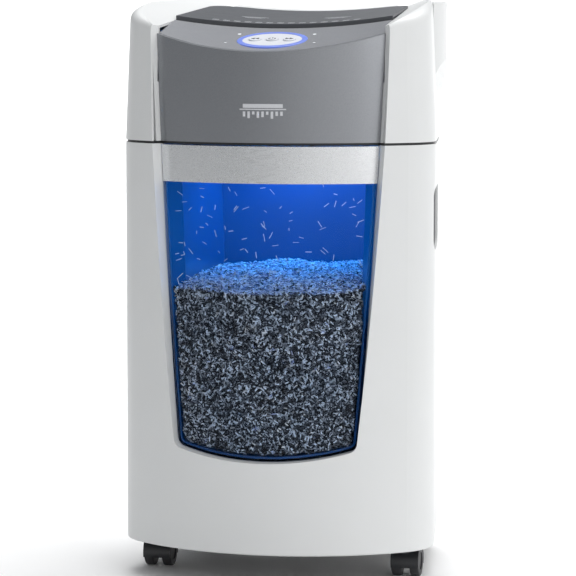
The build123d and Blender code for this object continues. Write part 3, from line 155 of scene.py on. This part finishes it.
def uneven_roughness(material, shader, value, low, high):
    """Roughness that drifts between two numbers with a value."""
    link(material, value_range(material, value, low, high), shader.inputs["Roughness"])


def moulded_plastic(name, colour, roughness, grain=900.0, relief=0.25, vary=0.03):
    """Moulded plastic: a fine eroded grain, a slight cloudiness and an uneven sheen."""
    material, shader = new_material(name)
    vector = object_coordinates(material)
    cloud = noise(material, vector, scale=9.0, detail=2.0)
    base_tones(material, shader, cloud, shade(colour, 1 - vary), shade(colour, 1 + vary))
    sheen = noise(material, vector, scale=45.0, detail=4.0)
    uneven_roughness(material, shader, sheen, roughness - 0.05, roughness + 0.06)
    eroded = noise(material, vector, scale=grain, detail=2.0)
    bump(material, shader, eroded, strength=relief, distance=0.0002)
    return material


def metallic_paint(name, colour, roughness, metal=0.6, flake=2600.0):
    """Sprayed metallic paint: fine flakes under a thin clear coat."""
    material, shader = new_material(name)
    vector = object_coordinates(material)
    flakes = noise(material, vector, scale=flake, detail=1.0, roughness=0.8)
    base_tones(material, shader, flakes, shade(colour, 0.86), shade(colour, 1.16), spread=0.15)
    shader.inputs["Metallic"].default_value = metal
    sheen = noise(material, vector, scale=60.0, detail=3.0)
    uneven_roughness(material, shader, sheen, roughness - 0.04, roughness + 0.05)
    shader.inputs["Coat Weight"].default_value = 0.25
    shader.inputs["Coat Roughness"].default_value = 0.25
    bump(material, shader, flakes, strength=0.08, distance=0.0001)
    return material


def brushed_metal(name, colour, roughness, along=(1.0, 60.0, 60.0), metal=1.0):
    """Metal or silver film with fine brush lines along one direction."""
    material, shader = new_material(name)
    vector = object_coordinates(material, along)
    lines = noise(material, vector, scale=30.0, detail=6.0, roughness=0.7)
    base_tones(material, shader, lines, shade(colour, 0.85), shade(colour, 1.1))
    shader.inputs["Metallic"].default_value = metal
    uneven_roughness(material, shader, lines, roughness - 0.07, roughness + 0.08)
    bump(material, shader, lines, strength=0.12, distance=0.0001)
    return material


def glowing(name, colour, glow, strength, roughness=0.35):
    """A lit plastic light guide with slightly uneven light."""
    material, shader = new_material(name)
    vector = object_coordinates(material)
    cloud = noise(material, vector, scale=60.0, detail=2.0)
    base_tones(material, shader, cloud, shade(colour, 0.9), shade(colour, 1.1))
    shader.inputs["Roughness"].default_value = roughness
    shader.inputs["Emission Color"].default_value = (*glow, 1.0)
    shader.inputs["Emission Strength"].default_value = strength
    return material


# ---------------------------------------------------------------------------------------------------
# Materials
# ---------------------------------------------------------------------------------------------------
casing = moulded_plastic("casing_white", (0.72, 0.73, 0.73), 0.38, grain=1100.0, relief=0.16, vary=0.012)
fascia = metallic_paint("fascia_grey", (0.29, 0.30, 0.32), 0.30, metal=0.8)
panel = metallic_paint("panel_grey", (0.22, 0.227, 0.245), 0.42, metal=0.5)
inlet = metallic_paint("inlet_dark", (0.085, 0.09, 0.10), 0.5, metal=0.35)
band = brushed_metal("band_silver", (0.80, 0.81, 0.825), 0.27, along=(1.0, 60.0, 60.0), metal=0.9)
trim = moulded_plastic("trim_black", (0.016, 0.016, 0.018), 0.45, grain=800.0, relief=0.3, vary=0.1)
grip = moulded_plastic("grip_grey", (0.30, 0.305, 0.31), 0.5, grain=600.0, relief=0.4, vary=0.05)
hood = moulded_plastic("castor_hood", (0.022, 0.023, 0.026), 0.32, grain=900.0, relief=0.2, vary=0.1)
tread = moulded_plastic("castor_tread", (0.035, 0.035, 0.038), 0.55, grain=420.0, relief=0.5, vary=0.15)
steel = brushed_metal("ground_steel", (0.55, 0.56, 0.57), 0.28, along=(60.0, 4.0, 60.0))
zinc = brushed_metal("zinc_plate", (0.58, 0.59, 0.56), 0.4, along=(4.0, 30.0, 4.0))
nylon = moulded_plastic("gear_nylon", (0.70, 0.67, 0.58), 0.5, grain=500.0, relief=0.2, vary=0.04)
bronze = brushed_metal("bush_bronze", (0.55, 0.38, 0.16), 0.45, along=(10.0, 10.0, 10.0))
can = brushed_metal("can_aluminium", (0.70, 0.71, 0.72), 0.35, along=(4.0, 4.0, 60.0))
board = moulded_plastic("board_green", (0.012, 0.12, 0.045), 0.35, grain=300.0, relief=0.3, vary=0.15)
key = moulded_plastic("key_white", (0.66, 0.68, 0.73), 0.38, grain=1500.0, relief=0.1, vary=0.01)
ring = glowing("ring_light", (0.14, 0.20, 0.50), glow=(0.07, 0.14, 0.8), strength=0.34)
icon = glowing("icon_white", (0.8, 0.82, 0.86), glow=(0.9, 0.95, 1.0), strength=0.25)
led = glowing("led_blue", (0.4, 0.6, 1.0), glow=(0.05, 0.25, 1.0), strength=12.0)
mark_pale = moulded_plastic("mark_pale", (0.62, 0.63, 0.66), 0.5, grain=900.0, relief=0.1, vary=0.02)
mark_dark = moulded_plastic("mark_dark", (0.02, 0.025, 0.05), 0.55, grain=900.0, relief=0.1, vary=0.02)


def tub_material():
    """Blue translucent tub with painted light: an emission that stands in for the light from above, glowing
    near the top and fading to dark towards the bottom.
    """
    material, shader = new_material("tub_blue")
    vector = object_coordinates(material)
    cloud = noise(material, vector, scale=7.0, detail=2.0)
    base_tones(material, shader, cloud, (0.0, 0.05, 0.17), (0.001, 0.07, 0.23))
    shader.inputs["Roughness"].default_value = 0.28
    split = add_node(material, "ShaderNodeSeparateXYZ")
    link(material, vector, split.inputs["Vector"])
    painted_glow_fade = add_node(material, "ShaderNodeMapRange")
    low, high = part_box("bin_tub")
    painted_glow_fade.inputs["From Min"].default_value = low.z
    painted_glow_fade.inputs["From Max"].default_value = high.z
    link(material, split.outputs["Z"], painted_glow_fade.inputs["Value"])
    # painted light: emission colours by height, dark at the bottom and brightest near the top, in place of
    # the light falling from above
    stops = [
        (0.42, (0.0, 0.001, 0.006)),
        (0.6, (0.0, 0.038, 0.150)),
        (0.8, (0.0, 0.046, 0.180)),
        (1.0, (0.0, 0.030, 0.125)),
    ]
    glow = ramp(material, painted_glow_fade.outputs["Result"], stops)
    link(material, glow, shader.inputs["Emission Color"])
    shader.inputs["Emission Strength"].default_value = 0.8
    return material


def window_material():
    """Clear tinted window: it lets the heap show and keeps a soft gloss."""
    material, shader = new_material("window_blue")
    vector = object_coordinates(material)
    cloud = noise(material, vector, scale=14.0, detail=2.0)
    base_tones(material, shader, cloud, (0.74, 0.84, 0.97), (0.80, 0.88, 0.99))
    shader.inputs["Transmission Weight"].default_value = 1.0
    shader.inputs["IOR"].default_value = 1.12
    sheen = noise(material, vector, scale=30.0, detail=3.0)
    uneven_roughness(material, shader, sheen, 0.01, 0.035)
    return material


def heap_material():
    """The mass of shreds behind the loose ones: small dark and grey chips."""
    material, shader = new_material("heap_core")
    vector = object_coordinates(material, (1.0, 1.0, 1.6))
    cells = add_node(material, "ShaderNodeTexVoronoi")
    cells.inputs["Scale"].default_value = 330.0
    link(material, vector, cells.inputs["Vector"])
    split = add_node(material, "ShaderNodeSeparateColor")
    link(material, cells.outputs["Color"], split.inputs["Color"])
    stops = [
        (0.0, (0.006, 0.006, 0.008)),
        (0.45, (0.03, 0.03, 0.035)),
        (0.75, (0.16, 0.165, 0.175)),
        (1.0, (0.5, 0.5, 0.52)),
    ]
    link(material, ramp(material, split.outputs["Red"], stops), shader.inputs["Base Color"])
    shader.inputs["Roughness"].default_value = 0.85
    bump(material, shader, cells.outputs["Distance"], strength=0.8, distance=0.002)
    return material


def shred_material(name, stops):
    """Loose paper shreds, each with its own tone."""
    material, shader = new_material(name)
    geometry = add_node(material, "ShaderNodeNewGeometry")
    tone = ramp(material, geometry.outputs["Random Per Island"], stops)
    link(material, tone, shader.inputs["Base Color"])
    shader.inputs["Roughness"].default_value = 0.8
    vector = object_coordinates(material)
    fibres = noise(material, vector, scale=900.0, detail=2.0)
    bump(material, shader, fibres, strength=0.3, distance=0.0002)
    return material


tub = tub_material()
window = window_material()
heap_core = heap_material()
shreds_mixed = shred_material("shreds_mixed", [
    (0.0, (0.004, 0.004, 0.005)),
    (0.34, (0.010, 0.010, 0.012)),
    (0.54, (0.06, 0.063, 0.07)),
    (0.70, (0.26, 0.265, 0.28)),
    (0.84, (0.62, 0.63, 0.65)),
    (1.0, (0.95, 0.96, 0.98)),
])
# painted light: a blue-tinted copy of the shred tones for the shreds on top of the heap, standing in for
# the blue light from above
shreds_painted_light = shred_material("shreds_painted_light", [
    (0.0, (0.08, 0.10, 0.22)),
    (0.3, (0.34, 0.38, 0.58)),
    (0.6, (0.78, 0.82, 0.98)),
    (1.0, (0.95, 0.97, 1.0)),
])
shreds_white = shred_material("shreds_white", [(0.0, (0.70, 0.72, 0.75)), (1.0, (0.92, 0.93, 0.95))])

NODE_MATERIALS = {
    casing: "cabinet_shell cabinet_back ear_left ear_right head_rear_cover",
    fascia: "front_fascia",
    panel: "control_panel",
    inlet: "inlet_panel",
    band: "bin_band",
    window: "bin_window",
    tub: "bin_tub",
    trim: "head_deck base_tray bin_shelf interlock_switch interlock_plunger switch_frame rocker_switch "
    "power_inlet strippers paper_flag flag_bracket throat_guides",
    grip: "grip_cups",
    hood: "castor_fl_hood castor_fr_hood castor_rl_hood castor_rr_hood",
    tread: "castor_fl_wheels castor_fr_wheels castor_rl_wheels castor_rr_wheels",
    steel: "cutter_shaft_front cutter_shaft_rear cutter_discs_front cutter_discs_rear tie_rods gear_pins "
    "back_screws castor_stems sync_gear_front sync_gear_rear motor_rotor",
    zinc: "side_plate_left side_plate_right motor_housing",
    nylon: "drive_gear compound_gear_one compound_gear_two",
    bronze: "shaft_bushes",
    can: "capacitor",
    board: "control_board",
    ring: "light_ring",
    led: "led_strip",
    key: "button_bezel button_reverse button_power button_forward",
    icon: "status_icons",
    heap_core: "shredded_paper",
}
for material, names in NODE_MATERIALS.items():
    for name in names.split():
        node = nodes[name]
        node.data.materials.clear()
        node.data.materials.append(material)


SOFT_EDGES = {                    # bevel widths in millimetres
    "cabinet_shell": 0.9,
    "cabinet_back": 0.9,
    "ear_left": 0.9,
    "ear_right": 0.9,
    "head_rear_cover": 0.7,
    "front_fascia": 0.6,
    "control_panel": 0.5,
    "inlet_panel": 0.5,
    "bin_band": 0.4,
}
EDGE_SEGMENTS = 2
EDGE_ANGLE = math.radians(35)
for name, width in SOFT_EDGES.items():
    soften = nodes[name].modifiers.new("soft_edges", "BEVEL")
    soften.width = width * MM
    soften.segments = EDGE_SEGMENTS
    soften.limit_method = "ANGLE"
    soften.angle_limit = EDGE_ANGLE
    soften.harden_normals = True


# ---------------------------------------------------------------------------------------------------
# Mesh helpers
# ---------------------------------------------------------------------------------------------------
CURVE_STEPS = 14
MARK_SINK = 0.1                   # how far a mark reaches into its surface, in millimetres
RAY_GAP = 0.1                     # how far outside the object a ray starts, in metres


def mesh_piece(name, points, faces, material, body):
    """A new mesh object that rides on a body."""
    mesh = bpy.data.meshes.new(name)
    mesh.from_pydata([tuple(p) for p in points], [], faces)
    mesh.validate()
    mesh.materials.append(material)
    piece = bpy.data.objects.new(name, mesh)
    bpy.context.scene.collection.objects.link(piece)
    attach(piece, body)
    return piece


def surface_of(node_name):
    """A CAD node's surface, ready for finding points on it."""
    mesh = nodes[node_name].data
    points = [v.co.copy() for v in mesh.vertices]
    return BVHTree.FromPolygons(points, [tuple(p.vertices) for p in mesh.polygons])


def bar(x0, y0, x1, y1, width):
    """A thin straight bar as a flat four-sided outline, in millimetres."""
    along = Vector((x1 - x0, y1 - y0))
    across = Vector((-along.y, along.x)).normalized() * width / 2
    start, end = Vector((x0, y0)), Vector((x1, y1))
    return [start - across, end - across, end + across, start + across]


def long_bar(x0, x1, y, width, steps=CURVE_STEPS):
    """A long level bar in short steps, so that it follows a curved surface."""
    length = (x1 - x0) / steps
    return [bar(x0 + i * length, y, x0 + (i + 1) * length, y, width) for i in range(steps)]


def arc_bars(x, y, radius, start, end, width, steps=CURVE_STEPS):
    """A ring or part of one, as short bars."""
    shapes = []
    for step in range(steps):
        a0 = math.radians(start + (end - start) * step / steps)
        a1 = math.radians(start + (end - start) * (step + 1) / steps)
        inner, outer = radius - width / 2, radius + width / 2
        corners = [(inner, a0), (outer, a0), (outer, a1), (inner, a1)]
        shapes.append([Vector((x + r * math.cos(a), y + r * math.sin(a))) for r, a in corners])
    return shapes


def printed_marks(name, shapes, place, material, body, lift=0.15):
    """Thin raised marks: place turns a flat point in millimetres into a surface point and its normal."""
    points, faces = [], []
    for shape in shapes:
        first = len(points)
        count = len(shape)
        spots = [place(p.x, p.y) for p in shape]
        points += [spot - normal * MARK_SINK * MM for spot, normal in spots]
        points += [spot + normal * lift * MM for spot, normal in spots]
        faces.append([first + i for i in reversed(range(count))])
        faces.append([first + count + i for i in range(count)])
        for i in range(count):
            j = (i + 1) % count
            faces.append([first + i, first + j, first + count + j, first + count + i])
    return mesh_piece(name, points, faces, material, body)


# ---------------------------------------------------------------------------------------------------
# Marks on the buttons, the panels and the fascia
# ---------------------------------------------------------------------------------------------------
def key_top(node_name, joint_name):
    """The middle of a button's top and the direction that it faces."""
    facing = -Vector(joints[joint_name]["axis"]).normalized()
    low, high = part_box(node_name)
    middle = (low + high) / 2
    reach = max((v.co - middle).dot(facing) for v in nodes[node_name].data.vertices)
    return middle + facing * reach, facing


def key_place(node_name, joint_name):
    """Places flat marks on a button's top: x to the right, y up the panel."""
    top, facing = key_top(node_name, joint_name)
    up = facing.cross(Vector((1, 0, 0)))

    def place(x, y):
        return top + Vector((x, 0, 0)) * MM + up * y * MM, facing

    return place


ARROW_STARTS = (-4.9, 0.2)
ARROW_LENGTH = 4.7
ARROW_HALF = 3.4


def double_arrow(direction):
    """Two triangles one after the other."""
    shapes = []
    for start in ARROW_STARTS:
        corners = [(start, -ARROW_HALF), (start + ARROW_LENGTH, 0.0), (start, ARROW_HALF)]
        shapes.append([Vector((direction * x, y)) for x, y in corners][::direction])
    return shapes


power_sign = arc_bars(0, -0.6, radius=3.9, start=125, end=415, width=1.0) + [bar(0, 0.8, 0, 5.2, width=1.0)]
KEY_SIGNS = {"reverse": double_arrow(-1), "power": power_sign, "forward": double_arrow(1)}
for name, shapes in KEY_SIGNS.items():
    place = key_place(f"button_{name}", f"{name}_press")
    printed_marks(f"mark_{name}", shapes, place, mark_dark, f"{name}_key")


def panel_place(node_name):
    """Places marks on a panel seen from above: x and y are the row's own, in millimetres."""
    surface = surface_of(node_name)
    above = cad_box[1][2] + RAY_GAP

    def place(x, y):
        spot, normal, _, _ = surface.ray_cast(Vector((x * MM, y * MM, above)), Vector((0, 0, -1)))
        return spot, normal if normal.z > 0 else -normal

    return place


def front_place(node_name):
    """Places marks on a front piece: x across and y up, in millimetres."""
    surface = surface_of(node_name)
    before = cad_box[0][1] - RAY_GAP

    def place(x, z):
        spot, normal, _, _ = surface.ray_cast(Vector((x * MM, before, z * MM)), Vector((0, 1, 0)))
        return spot, normal if normal.y < 0 else -normal

    return place


SIGN_HALF = 3.4                   # half a sign's frame; these sizes are in millimetres
SIGN_LINE = 0.45
SIGN_KINDS = 4
SIGN_COUNT = 14
SIGN_PITCH = 13.5


def pictogram(x, y, kind):
    """One small sign of what may be fed in: a framed sheet, disc, card or clip."""
    west, east = x - SIGN_HALF, x + SIGN_HALF
    south, north = y - SIGN_HALF, y + SIGN_HALF
    frame_bars = [
        bar(west, south, east, south, SIGN_LINE),
        bar(east, south, east, north, SIGN_LINE),
        bar(east, north, west, north, SIGN_LINE),
        bar(west, north, west, south, SIGN_LINE),
    ]
    if kind == 0:
        inner = [bar(x + step, y - 1.6, x + step, y + 1.6, width=0.5) for step in (-1.6, 0.0, 1.6)]
    elif kind == 1:
        inner = arc_bars(x, y, radius=1.7, start=0, end=360, width=0.5, steps=12)
    elif kind == 2:
        inner = [bar(x - 2.0, y, x + 2.0, y, width=1.8)]
    else:
        inner = [bar(x - 2.0, y - rise, x + 2.0, y + rise, width=0.6) for rise in (2.0, -2.0)]
    return frame_bars + inner


SIGN_ROW_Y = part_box("inlet_panel")[0].y / MM + 14.0
TEXT_X = 52.0                     # middle of each block of plain bars that stands for small text
TEXT_RISE = 60.0
TEXT_PITCH = 5.0
TEXT_WIDTH = 1.0
TEXT_LENGTHS = (34.0, 27.0, 20.0)
signs = []
for number in range(SIGN_COUNT):
    sign_x = (number - (SIGN_COUNT - 1) / 2) * SIGN_PITCH
    signs += pictogram(sign_x, SIGN_ROW_Y, (number * 3) % SIGN_KINDS)
for side in (-1, 1):
    for line, length in enumerate(TEXT_LENGTHS):
        start = side * TEXT_X - length / 2
        text_y = SIGN_ROW_Y + TEXT_RISE - TEXT_PITCH * line
        signs.append(bar(start, text_y, start + length, text_y, TEXT_WIDTH))
printed_marks("inlet_signs", signs, panel_place("inlet_panel"), mark_pale, "cabinet")

EMBLEM_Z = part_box("front_fascia")[0].z / MM + 38.0
SHEET_HALF = 24.0                 # a sheet over a slot, with strips that hang below it
SLOT_HALF = SHEET_HALF + 4
STRIP_COUNT = 9
STRIP_WIDTH = 3.0
STRIP_LENGTH = 6.0
STRIP_VARIES = 2.5
emblem = long_bar(-SLOT_HALF, SLOT_HALF, EMBLEM_Z + 1.5, width=1.3)
emblem += long_bar(-SHEET_HALF, SHEET_HALF, EMBLEM_Z + 5.5, width=4.6)
for strip in range(STRIP_COUNT):
    strip_x = (strip / (STRIP_COUNT - 1) * 2 - 1) * (SHEET_HALF - STRIP_WIDTH / 2)
    drop = STRIP_LENGTH + STRIP_VARIES * math.sin(2.3 * strip)
    strip_top = EMBLEM_Z - 1.0
    emblem.append(bar(strip_x, strip_top, strip_x, strip_top - drop, STRIP_WIDTH))
printed_marks("fascia_emblem", emblem, front_place("front_fascia"), mark_pale, "cabinet", lift=0.3)


# ---------------------------------------------------------------------------------------------------
# Heap of shreds in the bin
# ---------------------------------------------------------------------------------------------------
HEAP_LEVEL = 0.350                # at the window; lengths here are in metres
HEAP_BACK = 0.019                 # how much higher the heap stands at the back
HEAP_SIDE_FALL = 0.35             # share of that rise that is missing at the left wall
HEAP_VOXEL = 0.0035
HEAP_MERGE = 0.0004
HEAP_GAP = 0.0006                 # least room between the heap and the tub
HEAP_RELIEF = 0.003
WAVE_HEIGHT = 0.0025
WAVE_X, WAVE_Y = 61, 47           # radians per metre


def build_heap():
    """The heap's mass: the room in the tub up to the heap's level, with a lumpy surface."""
    mesh = nodes["shredded_paper"].data.copy()
    mesh.name = "paper_heap"
    low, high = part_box("shredded_paper")
    middle = (low + high) / 2
    half = (high - low) / 2
    piece = bpy.data.objects.new("paper_heap", mesh)
    bpy.context.scene.collection.objects.link(piece)
    remesh = piece.modifiers.new("remesh", "REMESH")
    remesh.mode = "VOXEL"
    remesh.voxel_size = HEAP_VOXEL
    bpy.context.view_layer.update()
    evaluated = piece.evaluated_get(bpy.context.evaluated_depsgraph_get())
    shaped = bpy.data.meshes.new_from_object(evaluated)
    piece.modifiers.clear()
    piece.data = shaped
    for vertex in shaped.vertices:
        across = (vertex.co.x - middle.x) / half.x
        deep = (vertex.co.y - middle.y) / half.y
        rise = max(0.0, min(1.0, 0.75 * (deep + 1)))
        side_fall = 1 - HEAP_SIDE_FALL * max(0.0, -across) ** 2
        level = HEAP_LEVEL + HEAP_BACK * rise * (2 - rise) * side_fall
        level += WAVE_HEIGHT * math.sin(vertex.co.x * WAVE_X) * math.sin(vertex.co.y * WAVE_Y + 1.0)
        if vertex.co.z > level:
            vertex.co.z = level
    bm = bmesh.new()
    bm.from_mesh(shaped)
    bmesh.ops.remove_doubles(bm, verts=bm.verts, dist=HEAP_MERGE)
    bmesh.ops.dissolve_degenerate(bm, edges=bm.edges, dist=HEAP_MERGE)
    bm.normal_update()
    rough = random.Random(5)
    for vertex in bm.verts:
        vertex.co -= vertex.normal * (HEAP_RELIEF * rough.random() + HEAP_GAP)
    bm.to_mesh(shaped)
    bm.free()
    shaped.materials.clear()
    shaped.materials.append(heap_core)
    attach(piece, "bin")
    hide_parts("shredded_paper")
    return piece


SHRED_THICKNESS = 0.00025


def shred_mesh(name, spots, material):
    """Many loose shreds as one mesh: a spot is a place, normal, length, width, curl, turn and lean."""
    points, faces = [], []
    for place, normal, length, width, curl, turn, lean in spots:
        along = normal.orthogonal().normalized()
        along.rotate(Matrix.Rotation(turn, 3, normal))
        up = normal.copy()
        up.rotate(Matrix.Rotation(lean, 3, along))
        across = up.cross(along).normalized()
        first = len(points)
        for step in (-1, 0, 1):
            bend = up * curl * (1 - step * step)
            centre = place + along * (step * length / 2) + bend
            for wide, thick in ((-1, 0), (1, 0), (1, 1), (-1, 1)):
                points.append(centre + across * (wide * width / 2) + up * (thick * SHRED_THICKNESS))
        faces.append([first + 3, first + 2, first + 1, first])
        faces.append([first + 8, first + 9, first + 10, first + 11])
        for ring_start in (first, first + 4):
            for i in range(4):
                j = (i + 1) % 4
                faces.append([ring_start + i, ring_start + j, ring_start + 4 + j, ring_start + 4 + i])
    piece = mesh_piece(name, points, faces, material, "bin")
    return piece


def scatter(piece, count, chooser, source):
    """Random spots on the faces that the chooser takes, chosen by area."""
    mesh = piece.data
    chosen = [p for p in mesh.polygons if chooser(p)]
    weights = [p.area for p in chosen]
    spots = []
    for polygon in source.choices(chosen, weights, k=count):
        corners = [mesh.vertices[i].co for i in polygon.vertices[:3]]
        a, b = source.random(), source.random()
        if a + b > 1:
            a, b = 1 - a, 1 - b
        place = corners[0] + (corners[1] - corners[0]) * a + (corners[2] - corners[0]) * b
        spots.append((place, polygon.normal.copy()))
    return spots


def shred_spots(pairs, source, lift, lean, lengths=(2.2, 6.0)):
    """Give each spot its shred: a random length, width, curl, turn and lean."""
    spots = []
    for place, normal in pairs:
        length = source.uniform(*lengths) * MM
        spots.append((
            place + normal * source.uniform(0.2, 1.0) * lift,
            normal,
            length,
            source.uniform(1.1, 1.9) * MM,
            source.uniform(-0.3, 0.5) * MM,
            source.uniform(0, 2 * math.pi),
            math.radians(source.uniform(-lean, lean)),
        ))
    return spots


FRONT_COUNT, TOP_COUNT, CLINGING_COUNT = 24000, 11000, 95
FRONT_BOTTOM = 0.16               # no loose shreds are made below this height
FACES_FRONT = -0.35               # a normal's y below this, or its z above FACES_UP
FACES_UP = 0.5
CLINGING_HALF = 0.112             # half the width that the clinging shreds cover
CLINGING_START = HEAP_LEVEL + 0.012
CLINGING_HEIGHT = 0.118
CLINGING_GAP = 0.0012             # between a clinging shred's middle and the window
CLINGING_TURN = 1.2               # how fast they turn to the middle with the window's bow
NARROWER, CURLIER = 0.42, 1.6     # than the shreds of the heap
RAY_START_Y = 0.05


def faces_window(polygon):
    """Whether a face of the heap is seen through the window."""
    return polygon.normal.y < FACES_FRONT and polygon.center.z > FRONT_BOTTOM


heap = build_heap()
front_pairs = scatter(heap, FRONT_COUNT, faces_window, rng)
top_pairs = scatter(heap, TOP_COUNT, lambda p: p.normal.z > FACES_UP, rng)
front_spots = shred_spots(front_pairs, rng, lift=0.0022, lean=14)
shred_mesh("shreds_front", front_spots, shreds_mixed)
top_spots = shred_spots(top_pairs, rng, lift=0.0035, lean=35)
# the shreds on top of the heap get the painted blue light
shred_mesh("shreds_top", top_spots, shreds_painted_light)

window_surface = surface_of("bin_window")
clinging = []
for number in range(CLINGING_COUNT):
    x = rng.uniform(-CLINGING_HALF, CLINGING_HALF)
    evenness = 0.75 if number % 2 else 1.6
    z = CLINGING_START + CLINGING_HEIGHT * rng.random() ** evenness
    start = Vector((x, RAY_START_Y, z))
    spot = window_surface.ray_cast(start, Vector((0, -1, 0)))[0]
    if spot is None:
        continue
    inward = Vector((-spot.x * CLINGING_TURN, 1.0, 0)).normalized() * CLINGING_GAP
    clinging.append((spot + inward, inward.normalized()))
curls = shred_spots(clinging, rng, lift=0.0004, lean=8, lengths=(3.0, 9.0))
curls = [(p, n, l, w * NARROWER, c * CURLIER, t, e) for p, n, l, w, c, t, e in curls]
shred_mesh("shreds_clinging", curls, shreds_white)


# ---------------------------------------------------------------------------------------------------
# Light, floor and camera
# ---------------------------------------------------------------------------------------------------
WORLD_LEFT = (0.36, 0.37, 0.38)
WORLD_RIGHT = (1.35, 1.35, 1.35)
WORLD_BEHIND = (0.13, 0.14, 0.155)
WORLD_STRENGTH = 0.84


def studio_world():
    """A white studio, dimmer at the front left than at the front right, and dim behind."""
    world = bpy.data.worlds.new("studio")
    bpy.context.scene.world = world
    world.use_nodes = True
    tree = world.node_tree
    coordinates = tree.nodes.new("ShaderNodeTexCoord")
    split = tree.nodes.new("ShaderNodeSeparateXYZ")
    across = tree.nodes.new("ShaderNodeValToRGB")
    across.color_ramp.interpolation = "EASE"
    first, last = across.color_ramp.elements
    first.position, first.color = 0.22, (*WORLD_LEFT, 1.0)
    last.position, last.color = 0.90, (*WORLD_RIGHT, 1.0)
    spread = tree.nodes.new("ShaderNodeMapRange")
    spread.inputs["From Min"].default_value = -1.0
    spread.inputs["From Max"].default_value = 1.0
    behind = tree.nodes.new("ShaderNodeMapRange")
    behind.inputs["From Min"].default_value = 0.1
    behind.inputs["From Max"].default_value = 0.6
    mix = tree.nodes.new("ShaderNodeMix")
    mix.data_type = "RGBA"
    mix.inputs["B"].default_value = (*WORLD_BEHIND, 1.0)
    background = tree.nodes["Background"]
    background.inputs["Strength"].default_value = WORLD_STRENGTH
    for source, target in (
        (coordinates.outputs["Generated"], split.inputs["Vector"]),
        (split.outputs["X"], spread.inputs["Value"]),
        (spread.outputs["Result"], across.inputs["Fac"]),
        (split.outputs["Y"], behind.inputs["Value"]),
        (behind.outputs["Result"], mix.inputs["Factor"]),
        (across.outputs["Color"], mix.inputs["A"]),
        (mix.outputs["Result"], background.inputs["Color"]),
    ):
        tree.links.new(source, target)


def soft_light(name, place, target, size, power, colour=(1.0, 1.0, 1.0)):
    """A square soft light that faces a target."""
    data = bpy.data.lights.new(name, "AREA")
    data.size = size
    data.energy = power
    data.color = colour
    light = bpy.data.objects.new(name, data)
    light.location = place
    light.rotation_euler = (Vector(target) - Vector(place)).to_track_quat("-Z", "Y").to_euler()
    bpy.context.scene.collection.objects.link(light)


studio_world()
soft_light("key_right", (2.6, -1.6, 1.3), target=(0, 0, 0.35), size=1.6, power=8)
soft_light("top_front", (0.9, -0.9, 2.8), target=(0, 0, 0.5), size=1.4, power=6)
led_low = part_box("led_strip")[0]
led_place = (0, led_low.y, led_low.z - 0.002)
led_target = (0, led_low.y - 0.02, 0)
soft_light("bin_light", led_place, led_target, size=0.15, power=0.55, colour=(0.06, 0.46, 1.0))


FLOOR_NEAR, FLOOR_FAR, FLOOR_HALF = -7.0, 2.6, 9.0
BEND_RADIUS = 1.0
BEND_STEPS = 16
BACKDROP_TOP = 1.15


def studio_floor():
    """A pale floor that curves up into a backdrop."""
    profile = [(FLOOR_NEAR, 0.0)]
    for step in range(BEND_STEPS + 1):
        angle = math.radians(90 * step / BEND_STEPS)
        rise = BEND_RADIUS * (1 - math.cos(angle))
        profile.append((FLOOR_FAR + BEND_RADIUS * math.sin(angle), rise))
    profile.append((FLOOR_FAR + BEND_RADIUS, BACKDROP_TOP))
    points = [(side * FLOOR_HALF, y, z) for y, z in profile for side in (-1, 1)]
    faces = [(2 * i, 2 * i + 1, 2 * i + 3, 2 * i + 2) for i in range(len(profile) - 1)]
    mesh = bpy.data.meshes.new("floor")
    mesh.from_pydata(points, [], faces)
    pale = moulded_plastic("floor_pale", (0.95, 0.95, 0.95), 0.75, grain=40.0, relief=0.02, vary=0.005)
    mesh.materials.append(pale)
    floor = bpy.data.objects.new("floor", mesh)
    bpy.context.scene.collection.objects.link(floor)


studio_floor()
soft_light("backdrop_light", (0, 1.6, 3.4), target=(0, 3.6, 0.2), size=3.0, power=170)

CAMERA_TURN = math.radians(12.6)
CAMERA_PITCH = math.radians(5.6)
CAMERA_DISTANCE = 3.46
CAMERA_HEIGHT = 0.676
CAMERA_LENS = 176.0
CAMERA_SIDE = -0.025
SENSOR_WIDTH = 36.0
camera_data = bpy.data.cameras.new("camera")
camera = bpy.data.objects.new("camera", camera_data)
bpy.context.scene.collection.objects.link(camera)
bpy.context.scene.camera = camera
camera_data.sensor_width = SENSOR_WIDTH
camera_data.lens = CAMERA_LENS
camera_data.shift_x = 0.03
camera_data.shift_y = 0.01
camera_data.clip_end = 60.0
camera.location = (
    math.sin(CAMERA_TURN) * CAMERA_DISTANCE + CAMERA_SIDE * math.cos(CAMERA_TURN),
    -math.cos(CAMERA_TURN) * CAMERA_DISTANCE + CAMERA_SIDE * math.sin(CAMERA_TURN),
    CAMERA_HEIGHT,
)
camera.rotation_euler = (math.pi / 2 - CAMERA_PITCH, 0, CAMERA_TURN)
bpy.context.scene.view_settings.view_transform = "Standard"
